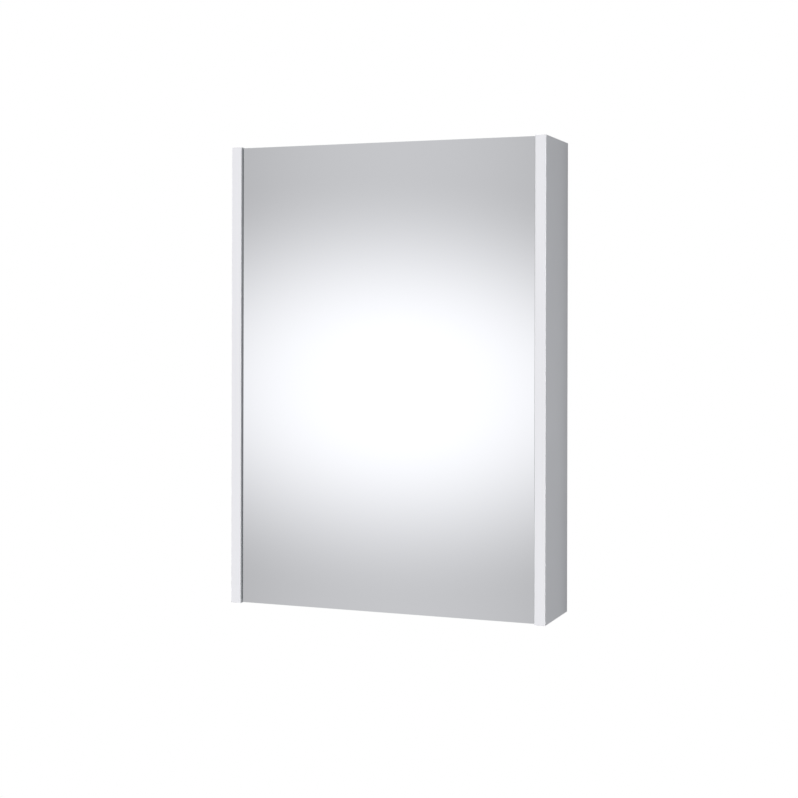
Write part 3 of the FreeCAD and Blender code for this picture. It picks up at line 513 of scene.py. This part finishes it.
FLUTES = 18
DOWEL_CHAMFER = 0.04    # length of the chamfer at each end, as a share of the dowel's length
DOWEL_END = 0.82        # radius of the end face, as a share of the dowel's


def fluted(low, high, flute, count=72):
    """A dowel along X with chamfered ends. Round it the radius drops by the depth of a flute.

    At angle a the drop is half the depth, times one plus the cosine of a times the number of
    flutes.
    """
    middle = (low + high) / 2
    radius = (high[2] - low[2]) / 2
    along = np.array([0, 0, DOWEL_CHAMFER, 0.5, 1 - DOWEL_CHAMFER, 1, 1])
    share = np.array([0, DOWEL_END, 1, 1, 1, DOWEL_END, 0])
    level, turn = all_round(low[0] + along * (high[0] - low[0]), count)
    local = share[:, None] * (radius - flute * (1 + np.cos(FLUTES * turn)) / 2)
    return np.stack([level, middle[1] + local * np.cos(turn), middle[2] + local * np.sin(turn)], -1)


def faces_between(rows, columns, closed=True):
    """Quads between the neighbouring points of a grid whose rows are closed round, or open."""
    row, column = np.meshgrid(np.arange(rows - 1), np.arange(columns if closed else columns - 1),
                              indexing="ij")
    beside = (column + 1) % columns
    corners = [row * columns + column, row * columns + beside, (row + 1) * columns + beside,
               (row + 1) * columns + column]
    return np.stack(corners, -1).reshape(-1, 4)


def solids(node):
    """Lowest and highest corner of each separate solid of a CAD node.

    Corners at one place share a label, and the lowest label of each triangle spreads to its
    other corners until nothing changes.
    """
    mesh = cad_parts[node].data
    points = np.zeros(len(mesh.vertices) * 3)
    mesh.vertices.foreach_get("co", points)
    corners = np.zeros(len(mesh.loops), np.int32)
    mesh.loops.foreach_get("vertex_index", corners)
    places, index = np.unique(points.reshape(-1, 3).round(6), axis=0, return_inverse=True)
    triangles = index.ravel()[corners].reshape(-1, 3)
    label = np.arange(len(places))
    while True:
        spread = label.copy()
        np.minimum.at(spread, triangles.ravel(), np.repeat(label[triangles].min(axis=1), 3))
        if (spread == label).all():
            break
        label = spread
    groups = [places[label == number] for number in np.unique(label)]
    return [(group.min(axis=0), group.max(axis=0)) for group in groups]


def turned_solids(node, profile, axis, count, from_low=False):
    """A turned form in the box of each solid of a CAD node. profile takes its radius and length.

    It starts at the solid's low end, or else at the end that is nearer the cabinet's middle.
    """
    k = AXES[axis]
    side = 2 if axis == "x" else 0
    middle = (CAD_BOX[0][k] + CAD_BOX[1][k]) / 2
    grids = []
    for low, high in solids(node):
        start = (low + high) / 2
        way = 1 if from_low or start[k] > middle else -1
        start[k] = low[k] if way > 0 else high[k]
        outline = profile((high[side] - low[side]) / 2, high[k] - low[k])
        grids.append(turned(outline, axis, start, way, count))
    return grids


def shares(outline, radius, reach):
    """A profile from an outline's shares of the radius and of the length."""
    return [(radius * across, reach * along) for across, along in outline]


# Pieces

SMOOTH_BELOW = math.radians(32)
SHARP_ABOVE = math.radians(35)
FLAT_BELOW = math.radians(0.8)
MERGE = 0.002 * MM
EDGE_STEPS = 2
CAP_STEPS = 4
CIRCULAR = 0.5          # the bevel's profile that is a quarter circle


def add_object(name, data):
    """An object that shows the data in the scene."""
    shown = bpy.data.objects.new(name, data)
    bpy.context.scene.collection.objects.link(shown)
    return shown


def piece(name, mesh, body, nodes, edge=0.0):
    """An object that shows the mesh, rides on the body and stands for the CAD nodes.

    Its edges are broken by the width edge. Large faces then shade flat up to their edges,
    because each corner's normal leans on its faces by their area.
    """
    mesh.shade_smooth()
    mesh.set_sharp_from_angle(angle=SMOOTH_BELOW)
    shown = add_object(name, mesh)
    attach(shown, body)
    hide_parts(*nodes)
    if edge:
        bevel = shown.modifiers.new("broken_edges", "BEVEL")
        bevel.width = edge
        bevel.segments = EDGE_STEPS
        bevel.limit_method = "ANGLE"
        bevel.angle_limit = SHARP_ABOVE
    flat = shown.modifiers.new("flat_faces", "WEIGHTED_NORMAL")
    flat.keep_sharp = True
    return shown


def woven(name, grids, body, nodes, slot, *makers, bands=None):
    """A piece from grids. bands gives the material of each row of faces, in every grid alike."""
    points, faces, paint = [], [], []
    offset = 0
    for grid in grids:
        rows, columns = grid.shape[:2]
        points.append(grid.reshape(-1, 3))
        faces.append(faces_between(rows, columns) + offset)
        paint.append(np.repeat(np.zeros(rows - 1) if bands is None else bands, columns))
        offset += rows * columns
    mesh = bpy.data.meshes.new(name)
    mesh.from_pydata(np.concatenate(points).tolist(), [], np.concatenate(faces).tolist())
    for maker in makers:
        mesh.materials.append(finished(maker))
    mesh.polygons.foreach_set("material_index", np.concatenate(paint).astype(np.int32))
    work = bmesh.new()
    work.from_mesh(mesh)
    bmesh.ops.remove_doubles(work, verts=work.verts, dist=MERGE)
    bmesh.ops.recalc_face_normals(work, faces=work.faces)
    work.to_mesh(mesh)
    work.free()
    return piece(name, mesh, body, nodes)


def rounded_cap(work, low, high, open_way, radius):
    """Rounds the edges where outer faces of a cap meet, apart from faces that look to open_way."""
    skin = []
    for face in work.faces:
        centre = np.array(face.calc_center_median())
        outside = (abs(centre - low) < MERGE).any() or (abs(centre - high) < MERGE).any()
        if outside and np.dot(face.normal, open_way) < TOWARDS:
            skin.append(face)
    edges = [edge for edge in work.edges if all(face in skin for face in edge.link_faces)]
    bmesh.ops.bevel(work, geom=edges, offset=radius, segments=CAP_STEPS, profile=CIRCULAR, affect="EDGES")


def dressed(node, body, slot, edge, *makers, paint=None, open_way=None, radius=0.0):
    """A merged copy of a CAD node with broken edges.

    paint picks the materials from the centres and normals of the faces. Where open_way is
    given, the outer edges are rounded by the radius, and the side that it points to stays.
    """
    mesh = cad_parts[node].data.copy()
    mesh.name = node + "_finish"
    work = bmesh.new()
    work.from_mesh(mesh)
    bmesh.ops.remove_doubles(work, verts=work.verts, dist=MERGE)
    bmesh.ops.dissolve_limit(work, angle_limit=FLAT_BELOW, verts=work.verts, edges=work.edges)
    if open_way is not None:
        rounded_cap(work, *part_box(node), open_way, radius)
    work.to_mesh(mesh)
    work.free()
    mesh.materials.clear()
    for maker in makers:
        mesh.materials.append(finished(maker))
    index = np.zeros(len(mesh.polygons), np.int32)
    if paint is not None:
        centres, normals = np.zeros((2, len(mesh.polygons) * 3))
        mesh.polygons.foreach_get("center", centres)
        mesh.polygons.foreach_get("normal", normals)
        index[:] = paint(centres.reshape(-1, 3), normals.reshape(-1, 3))
    mesh.polygons.foreach_set("material_index", index)
    return piece(node + "_finish", mesh, body, [node], edge)


# The stage. Places and lengths are in metres, and turns from a soft box are in radians.

CAMERA_YAW = math.radians(21.18)
CAMERA_ROLL = math.radians(-0.117)
CAMERA_AT = (0.856, -2.262, -0.209)
CAMERA_SHIFT = -0.0996
KEY_FROM = (-0.06, -0.94, 0.34)
KEY_SPREAD = math.radians(22)
EDGE_AT = (2.5, 0.5, -0.1)
EDGE_SIZE = (2.4, 2.4)
SOFT_BOXES = 17
BOX_DROP = -0.0435      # slope at which a box is brightest
BOX_SLANT = -0.026      # change of that slope with the turn
BOX_NARROWING = 0.53
BOX_RIM = 0.1377        # distance from the brightest place at which the glow ends
BOX_MIDDLE = 0.0268     # and within which it is full
GREY_FALL = 14.9        # times the square of the turn, the share of the grey that is lost
GREY_WIDTH = 0.11       # turn past which no more is lost
FLOOR_DROP = 0.9        # from the cabinet down to the floor
FLOOR_CLEAR = 0.75      # radius at which the floor starts to fade
FLOOR_REACH = 1.6       # and at which it is gone
FLOOR_THIN = 0.5        # share of the background that shows through it at first
FLOOR_POINTS = 97
FLOOR_COLOUR = linear("F8F8F8") + (1.0,)
ROOM_COLOUR = linear("FAFBFE") + (1.0,)
CARD_COLOUR = linear("7C7C7C") + (1.0,)
CARD_WIDTH = 0.036


def build_world(scene, studio):
    """White to the eye, even to matt surfaces, and a ring of soft boxes to glossy ones.

    For a direction, the slope is its rise over its level length, and the turn its bearing from
    the nearest box. A box glows where the distance made of both, with the turn narrowed, is
    small, and the grey between the boxes falls off with the square of the turn. Light that has
    met a matt surface first finds the plain fill instead, so the boxes never light the cabinet.
    """
    world = bpy.data.worlds.new("studio_world")
    world.use_nodes = True
    scene.world = world
    tree = world.node_tree
    tree.nodes.clear()
    ray = put(tree, "ShaderNodeLightPath")
    way = put(tree, "ShaderNodeTexCoord").outputs["Generated"]
    mirrored = put(tree, "ShaderNodeVectorMath", {0: way, 1: (-1, -1, 1)}, operation="MULTIPLY")
    back = put(tree, "ShaderNodeSeparateXYZ", {0: mirrored})
    bearing = put(tree, "ShaderNodeMath", {0: back.outputs[0], 1: back.outputs[1]}, operation="ARCTAN2")
    from_box = put(tree, "ShaderNodeMath", {0: CAMERA_YAW, 1: bearing}, operation="SUBTRACT")
    half = math.pi / SOFT_BOXES
    turn = put(tree, "ShaderNodeMath", {0: from_box, 1: -half, 2: half}, operation="WRAP")
    flat = put(tree, "ShaderNodeCombineXYZ", {0: back.outputs[0], 1: back.outputs[1]})
    level = put(tree, "ShaderNodeVectorMath", {0: flat}, operation="LENGTH").outputs["Value"]
    slope = put(tree, "ShaderNodeMath", {0: back.outputs[2], 1: level}, operation="DIVIDE")
    slant = put(tree, "ShaderNodeMath", {0: turn, 1: BOX_SLANT, 2: BOX_DROP}, operation="MULTIPLY_ADD")
    rise = put(tree, "ShaderNodeMath", {0: slope, 1: slant}, operation="SUBTRACT")
    side = put(tree, "ShaderNodeMath", {0: turn, 1: BOX_NARROWING}, operation="MULTIPLY")
    both = put(tree, "ShaderNodeCombineXYZ", {0: rise, 1: side})
    off = put(tree, "ShaderNodeVectorMath", {0: both}, operation="LENGTH").outputs["Value"]
    glow = put(tree, "ShaderNodeMapRange", {"Value": off, "From Min": BOX_RIM, "From Max": BOX_MIDDLE,
                                            "To Max": studio.glow}, interpolation_type="SMOOTHSTEP")
    square = put(tree, "ShaderNodeMath", {0: turn, 1: turn}, operation="MULTIPLY")
    near = put(tree, "ShaderNodeMath", {0: square, 1: GREY_WIDTH ** 2}, operation="MINIMUM")
    grey = put(tree, "ShaderNodeMath", {0: near, 1: -GREY_FALL * studio.dim, 2: studio.dim},
               operation="MULTIPLY_ADD")
    shine = put(tree, "ShaderNodeMath", {0: grey, 1: glow}, operation="ADD")
    first = put(tree, "ShaderNodeMath", {0: ray.outputs["Diffuse Depth"], 1: 1}, operation="LESS_THAN")
    gloss = put(tree, "ShaderNodeMath", {0: ray.outputs["Is Glossy Ray"], 1: first}, operation="MULTIPLY")
    clear = put(tree, "ShaderNodeMath", {0: ray.outputs["Is Camera Ray"],
                                         1: ray.outputs["Is Transmission Ray"]}, operation="MAXIMUM")
    fill = put(tree, "ShaderNodeBackground", {"Color": (1, 1, 1, 1), "Strength": studio.fill})
    room = put(tree, "ShaderNodeBackground", {"Color": ROOM_COLOUR, "Strength": shine})
    white = put(tree, "ShaderNodeBackground", {"Color": (1, 1, 1, 1), "Strength": 1.0})
    lit = put(tree, "ShaderNodeMixShader", {0: gloss, 1: fill, 2: room})
    seen = put(tree, "ShaderNodeMixShader", {0: clear, 1: lit, 2: white})
    put(tree, "ShaderNodeOutputWorld", {"Surface": seen})


def staged(name, grid):
    """A piece of the stage from one grid of points that isn't closed round."""
    mesh = bpy.data.meshes.new(name)
    quads = faces_between(*grid.shape[:2], closed=False)
    mesh.from_pydata(grid.reshape(-1, 3).tolist(), [], quads.tolist())
    shown = add_object(name, mesh)
    return shown


def build_floor():
    """A pale round floor that fades into the background towards its rim."""
    turn = np.linspace(0, 2 * np.pi, FLOOR_POINTS)
    reach = np.array([0, FLOOR_CLEAR, FLOOR_REACH])[:, None]
    level = CAD_BOX[0][2] - FLOOR_DROP
    floor = staged("floor", placed(level, reach * np.cos(turn), reach * np.sin(turn), "z"))
    # Painted studio floor, rolled on: an even pale matt surface.
    paint, tree = blank("floor_matt_paint")
    place = put(tree, "ShaderNodeTexCoord").outputs["Object"]
    flat = put(tree, "ShaderNodeVectorMath", {0: place, 1: (1, 1, 0)}, operation="MULTIPLY")
    away = put(tree, "ShaderNodeVectorMath", {0: flat}, operation="LENGTH").outputs["Value"]
    fade = put(tree, "ShaderNodeMapRange", {"Value": away, "From Min": FLOOR_CLEAR, "From Max": FLOOR_REACH,
                                            "To Min": FLOOR_THIN}, interpolation_type="SMOOTHSTEP")
    near = put(tree, "ShaderNodeBsdfDiffuse", {"Color": FLOOR_COLOUR})
    far = put(tree, "ShaderNodeBsdfTransparent")
    both = put(tree, "ShaderNodeMixShader", {0: fade, 1: near, 2: far})
    put(tree, "ShaderNodeOutputMaterial", {"Surface": both})
    floor.data.materials.append(paint)


def build_card():
    """A narrow card round the cabinet in the plane of the wall, out of sight.

    It gives the sides the soft shade that a wall gives them near their back edge.
    """
    low, high = CAD_BOX
    corner = np.array([(0, 0), (1, 0), (1, 1), (0, 1), (0, 0)])
    rings = []
    for reach in (MM, CARD_WIDTH):
        x = low[0] - reach + corner[:, 0] * (high[0] - low[0] + 2 * reach)
        z = low[2] - reach + corner[:, 1] * (high[2] - low[2] + 2 * reach)
        rings.append(placed(0, z, x, "y"))
    card = staged("shade_card", np.array(rings))
    card.visible_camera = False
    card.visible_glossy = False
    card.visible_transmission = False
    # Grey card, matt on both sides.
    grey, tree = blank("grey_card")
    matt = put(tree, "ShaderNodeBsdfDiffuse", {"Color": CARD_COLOUR})
    put(tree, "ShaderNodeOutputMaterial", {"Surface": matt})
    card.data.materials.append(grey)


def aimed(direction):
    """Turns that point the local -Z axis along a direction, with local Y upwards."""
    x, y, z = np.array(direction) / np.linalg.norm(direction)
    return math.acos(-z), 0.0, math.atan2(-x, y)


def build_key(studio):
    """One wide soft light from the front, a little above, which leaves the sides to the fill."""
    lamp = bpy.data.lights.new("key", "SUN")
    lamp.energy = studio.key
    lamp.angle = KEY_SPREAD
    key = add_object("key", lamp)
    key.rotation_euler = aimed([-part for part in KEY_FROM])
    key.visible_glossy = False


def build_edge_light(studio):
    """A wide lamp for the edging's gloss alone, which draws a bright line along its round corners.

    It stands at the right and mostly behind the front, so that flat front faces hardly mirror it.
    """
    lamp = bpy.data.lights.new("edge_light", "AREA")
    lamp.shape = "RECTANGLE"
    lamp.size, lamp.size_y = EDGE_SIZE
    lamp.energy = studio.edge
    light = add_object("edge_light", lamp)
    light.location = EDGE_AT
    light.rotation_euler = aimed([-part for part in EDGE_AT])
    light.visible_camera = False
    light.visible_diffuse = False
    light.visible_transmission = False
    strips = bpy.data.collections.new("edging_strips")
    for node in EDGING:
        strips.objects.link(bpy.data.objects[node + "_strip"])
    light.light_linking.receiver_collection = strips


def build_camera(scene, studio):
    """A level camera to the right of the cabinet, shifted down as the photograph is framed."""
    data = bpy.data.cameras.new("camera")
    data.sensor_width = 36
    data.sensor_fit = "HORIZONTAL"
    data.lens = studio.lens
    data.shift_y = CAMERA_SHIFT
    camera = add_object("camera", data)
    camera.location = CAMERA_AT
    camera.rotation_euler = (math.pi / 2, CAMERA_ROLL, CAMERA_YAW)
    scene.camera = camera


class CABINET_OT_studio(bpy.types.Operator):
    """Sets the floor, the light and the camera"""
    bl_idname = "cabinet.studio"
    bl_label = "Studio"

    def execute(self, context):
        studio = context.scene.cabinet_studio
        context.scene.view_settings.view_transform = "Standard"
        build_world(context.scene, studio)
        build_floor()
        build_card()
        build_key(studio)
        build_edge_light(studio)
        build_camera(context.scene, studio)
        return {"FINISHED"}


# The pieces' operators

def core_inside(node):
    """Paints a board: its outer faces with the first material, bores and grooves with the second."""
    low, high = (np.array(corner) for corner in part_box(node))

    def paint(centres, normals):
        outside = (abs(centres - low) < MERGE) | (abs(centres - high) < MERGE)
        return ~outside.any(axis=1)

    return paint


def raw_but_front(centres, normals):
    """Paints the back panel: its front with the first material, the rest with the second."""
    return normals[:, 1] > -TOWARDS


class CABINET_OT_boards(bpy.types.Operator):
    """Finishes the coated boards of the carcass and its back panel"""
    bl_idname = "cabinet.boards"
    bl_label = "Boards"

    def execute(self, context):
        shape = context.scene.cabinet_shape
        for node in ("side_panel_left", "side_panel_right", "top_panel", "bottom_panel"):
            dressed(node, "cabinet", "white_board", shape.board_edge, melamine, chipboard,
                    paint=core_inside(node))
        dressed("back_panel", "cabinet", "back_board", shape.sawn_edge, lacquered_hardboard, hardboard,
                paint=raw_but_front)
        return {"FINISHED"}


class CABINET_OT_edging(bpy.types.Operator):
    """Makes the rounded edging strips of the carcass"""
    bl_idname = "cabinet.edging"
    bl_label = "Edging"

    def execute(self, context):
        radius = context.scene.cabinet_shape.strip_round
        for node, along in EDGING.items():
            strips = [rounded_strip(low, high, along, radius) for low, high in solids(node)]
            woven(node + "_strip", strips, "cabinet", [node], "white_abs", abs_edging)
        return {"FINISHED"}


PAD_TOP = 0.55          # radius of a buffer's flat top, as a share of its own
PAD_WALL = 0.15         # height of its straight wall, as a share of its height
PAD_STEPS = 8


def pad_profile(radius, rise):
    """A buffer from its foot: a short wall, and a quarter of an ellipse up to its flat top."""
    turn = np.linspace(0, np.pi / 2, PAD_STEPS)
    across = radius * (PAD_TOP + (1 - PAD_TOP) * np.cos(turn))
    level = rise * (PAD_WALL + (1 - PAD_WALL) * np.sin(turn))
    return [(0, 0), (radius, 0)] + list(zip(across, level)) + [(0, rise)]


class CABINET_OT_door(bpy.types.Operator):
    """Finishes the door's board, its edging, the tape and the buffers"""
    bl_idname = "cabinet.door"
    bl_label = "Door"

    def execute(self, context):
        shape = context.scene.cabinet_shape
        dressed("door_panel", "door", "door_board", shape.sawn_edge, melamine, chipboard,
                paint=core_inside("door_panel"))
        low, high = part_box("door_edging")
        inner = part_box("door_panel")[0][0] - low[0]
        rim = rounded_edge(low[1], high[1], shape.strip_round)
        loop = rim + [(inner, high[1]), (inner, low[1]), rim[0]]
        woven("door_edging_strip", [rectangles(low, high, loop, "y")], "door", ["door_edging"], "white_abs",
              abs_edging)
        dressed("mirror_tape", "door", "foam_tape", shape.sawn_edge, foam)
        pads = turned_solids("door_bumpers", pad_profile, "y", 40, from_low=True)
        woven("door_buffer_pads", pads, "door", ["door_bumpers"], "clear_rubber", clear_buffer)
        return {"FINISHED"}


class CABINET_OT_mirror(bpy.types.Operator):
    """Makes the mirror with its polished arris and its ground sides"""
    bl_idname = "cabinet.mirror"
    bl_label = "Mirror"

    def execute(self, context):
        low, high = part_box("mirror_glass")
        arris = context.scene.cabinet_shape.arris
        fine = arris / 2
        profile = [(None, low[1]), (arris, low[1]), (0, low[1] + arris),
                   (0, high[1] - fine), (fine, high[1]), (None, high[1])]
        # The arris band takes a pale colour that is partly a painted reflection of the silver behind it.
        woven("mirror_pane", [rectangles(low, high, profile, "y")], "door", ["mirror_glass"],
              "silvered_mirror", silvered_glass, arris_with_painted_glint, ground_edge, backing_paint,
              bands=[0, 1, 2, 2, 3])
        return {"FINISHED"}


SHELF_ROUND = 0.3       # radius of a shelf's edge, as a share of its thickness
PIN_DOME = 0.3          # radius at a pin's tip, as a share of its own
PIN_SHAFT = ((1, 0.4), (0.88, 0.42), (0.88, 0.45), (1, 0.47), (1, 0.95), (0.8, 1), (0, 1))


def pin_profile(radius, reach):
    """A pin from its tip: a dome, a shallow groove where it meets the board, and a chamfer."""
    dome = radius * PIN_DOME
    return [(0, 0)] + arc(radius - dome, dome, dome, -90, 0) + shares(PIN_SHAFT, radius, reach)


class CABINET_OT_shelves(bpy.types.Operator):
    """Makes the glass shelves and the pins that carry them"""
    bl_idname = "cabinet.shelves"
    bl_label = "Shelves"

    def execute(self, context):
        for node in ("shelf_upper", "shelf_lower"):
            low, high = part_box(node)
            rim = rounded_edge(low[2], high[2], (high[2] - low[2]) * SHELF_ROUND)
            profile = [(None, low[2])] + rim + [(None, high[2])]
            woven(node + "_pane", [rectangles(low, high, profile, "z")], "cabinet", [node], "clear_glass",
                  clear_glass, polished_edge, bands=[0] + [1] * (len(rim) - 1) + [0])
        pins = turned_solids("shelf_pins", pin_profile, "x", 32)
        woven("shelf_pins_turned", pins, "cabinet", ["shelf_pins"], "nickel_steel", nickel_plate)
        return {"FINISHED"}


RIVET_EDGE = 0.25       # chamfer of a rivet, as a share of its radius


def rivet_profile(radius, reach):
    """A short rod with a chamfer at each end."""
    edge = radius * RIVET_EDGE
    return [(0, 0), (radius - edge, 0), (radius, edge), (radius, reach - edge), (radius - edge, reach),
            (0, reach)]


class CABINET_OT_hinges(bpy.types.Operator):
    """Finishes the hinges: plates, arms, links, cups, caps and pins"""
    bl_idname = "cabinet.hinges"
    bl_label = "Hinges"

    def execute(self, context):
        shape = context.scene.cabinet_shape
        for end in ("upper", "lower"):
            dressed("hinge_plate_" + end, "cabinet", "die_cast_zinc", shape.metal_edge, die_cast_zinc)
            dressed("hinge_arm_" + end, "cabinet", "nickel_steel", shape.metal_edge, nickel_plate)
            dressed("arm_cover_" + end, "cabinet", "grey_plastic", shape.plastic_edge, grey_plastic,
                    open_way=(-1, -1, 0), radius=shape.cap_round)
            dressed("hinge_link_" + end, "hinge_links", "die_cast_zinc", shape.metal_edge, die_cast_zinc)
            dressed("hinge_cup_" + end, "door", "nickel_steel", shape.metal_edge, nickel_plate)
        for node, body in (("hinge_arm_pins", "cabinet"), ("hinge_cup_pins", "door")):
            rivets = turned_solids(node, rivet_profile, "z", 28, from_low=True)
            woven(node + "_turned", rivets, body, [node], "nickel_steel", nickel_plate)
        return {"FINISHED"}


class CABINET_OT_screws(bpy.types.Operator):
    """Makes the screws, each with a cross recess and a thread"""
    bl_idname = "cabinet.screws"
    bl_label = "Screws"

    def execute(self, context):
        shape = context.scene.cabinet_shape
        for node, body, axis, way in (("hinge_plate_screws", "cabinet", "x", 1),
                                      ("hinge_arm_screws", "cabinet", "x", 1),
                                      ("hinge_cup_screws", "door", "y", 1),
                                      ("hanger_fixing_screws", "cabinet", "x", 0),
                                      ("hanger_adjusting_screws", "cabinet", "y", -1)):
            grids = []
            for low, high in solids(node):
                towards = way or (-1 if low[0] > 0 else 1)
                grids += screw(low, high, axis, towards, shape, headless=node == "hanger_adjusting_screws")
            woven(node + "_turned", grids, body, [node], "zinc_steel", zinc_plate)
        return {"FINISHED"}


class CABINET_OT_hangers(bpy.types.Operator):
    """Finishes the hanger boxes, hooks and caps, and the rail on the wall"""
    bl_idname = "cabinet.hangers"
    bl_label = "Hangers"

    def execute(self, context):
        shape = context.scene.cabinet_shape
        for side, outwards in (("left", -1), ("right", 1)):
            dressed("hanger_box_" + side, "cabinet", "white_plastic", shape.plastic_edge, white_plastic)
            dressed("hanger_cover_" + side, "cabinet", "white_plastic", shape.plastic_edge, white_plastic,
                    open_way=(outwards, 1, 0), radius=shape.cap_round)
            dressed("hanger_hook_" + side, "cabinet", "zinc_steel", shape.metal_edge, zinc_plate)
        dressed("wall_rail", "cabinet", "zinc_steel", shape.metal_edge, zinc_plate)
        return {"FINISHED"}


BOLT_BALL = 0.95        # radius of a bolt's ball, as a share of the bolt's
BALL_ARC = (-80, 40, 9)     # first and last angle of the ball, in degrees, and its points
BOLT_NECK = 0.55
BOLT_COLLAR = ((BOLT_NECK, 0.5), (1, 0.52), (1, 0.6))
BOLT_RINGS = 8          # turns of its thread, drawn as rings
BOLT_FIRST_RING = 0.62
BOLT_PITCH = 0.045
BOLT_CREST = 0.02       # from the foot of a ring to its top
BOLT_TIP = ((0.6, 1), (0, 1))


def bolt_profile(radius, reach):
    """A cam bolt from its head: a ball, a thin neck, a collar and a threaded end."""
    ball = radius * BOLT_BALL
    feet = [BOLT_FIRST_RING + BOLT_PITCH * ring for ring in range(BOLT_RINGS)]
    rings = [point for foot in feet for point in ((THREAD_ROOT, foot), (1, foot + BOLT_CREST))]
    return ([(0, 0)] + arc(0, ball, ball, *BALL_ARC) + [(radius * BOLT_NECK, ball * 2)]
            + shares((*BOLT_COLLAR, *rings, *BOLT_TIP), radius, reach))


COVER_FOOT = 0.94       # radius of a cam cover's foot, as a share of its own
COVER_LIP = 0.2         # height at which it is widest, as a share of its thickness
COVER_ROUND = 0.4       # radius of its rounded rim, as a share of its thickness


def cover_profile(radius, thick):
    """A cam cover from its foot: it widens to a lip and ends in a rounded rim."""
    rim = thick * COVER_ROUND
    return ([(0, 0), (radius * COVER_FOOT, 0), (radius, thick * COVER_LIP)]
            + arc(radius - rim, thick - rim, rim, 0, 90) + [(0, thick)])


class CABINET_OT_corner_fittings(bpy.types.Operator):
    """Makes the dowels, bolts, cams and cam covers of the corners"""
    bl_idname = "cabinet.corner_fittings"
    bl_label = "Corner fittings"

    def execute(self, context):
        shape = context.scene.cabinet_shape
        dowels = [fluted(low, high, shape.flute) for low, high in solids("wood_dowels")]
        woven("dowels_fluted", dowels, "cabinet", ["wood_dowels"], "beech", beech)
        bolts = turned_solids("cam_bolts", bolt_profile, "x", 32)
        woven("cam_bolts_turned", bolts, "cabinet", ["cam_bolts"], "zinc_steel", zinc_plate)
        dressed("cam_housings", "cabinet", "die_cast_zinc", shape.metal_edge, die_cast_zinc)
        caps = turned_solids("cam_covers", cover_profile, "z", 48)
        woven("cam_covers_moulded", caps, "cabinet", ["cam_covers"], "white_plastic", white_plastic)
        return {"FINISHED"}


class CABINET_PT_sidebar(bpy.types.Panel):
    """Lists the cabinet's operators and settings"""
    bl_idname = "CABINET_PT_sidebar"
    bl_label = "Mirror cabinet"
    bl_space_type = "VIEW_3D"
    bl_region_type = "UI"
    bl_category = "Cabinet"

    def draw(self, context):
        for operator in OPERATORS:
            self.layout.operator(operator.bl_idname)
        scene = context.scene
        for group in (scene.cabinet_shape, scene.cabinet_colours, scene.cabinet_studio):
            column = self.layout.column()
            for setting in group.__annotations__:
                column.prop(group, setting)


OPERATORS = (CABINET_OT_boards, CABINET_OT_edging, CABINET_OT_door, CABINET_OT_mirror, CABINET_OT_shelves,
             CABINET_OT_hinges, CABINET_OT_screws, CABINET_OT_hangers, CABINET_OT_corner_fittings,
             CABINET_OT_studio)
CLASSES = (CabinetColours, CabinetShape, CabinetStudio) + OPERATORS + (CABINET_PT_sidebar,)


def register():
    for entry in CLASSES:
        bpy.utils.register_class(entry)
    bpy.types.Scene.cabinet_colours = bpy.props.PointerProperty(type=CabinetColours)
    bpy.types.Scene.cabinet_shape = bpy.props.PointerProperty(type=CabinetShape)
    bpy.types.Scene.cabinet_studio = bpy.props.PointerProperty(type=CabinetStudio)


def unregister():
    del bpy.types.Scene.cabinet_studio
    del bpy.types.Scene.cabinet_shape
    del bpy.types.Scene.cabinet_colours
    for entry in reversed(CLASSES):
        bpy.utils.unregister_class(entry)


def main():
    """Makes the whole cabinet with its studio."""
    register()
    for operator in OPERATORS:
        family, name = operator.bl_idname.split(".")
        getattr(getattr(bpy.ops, family), name)()


if __name__ == "__main__":
    main()
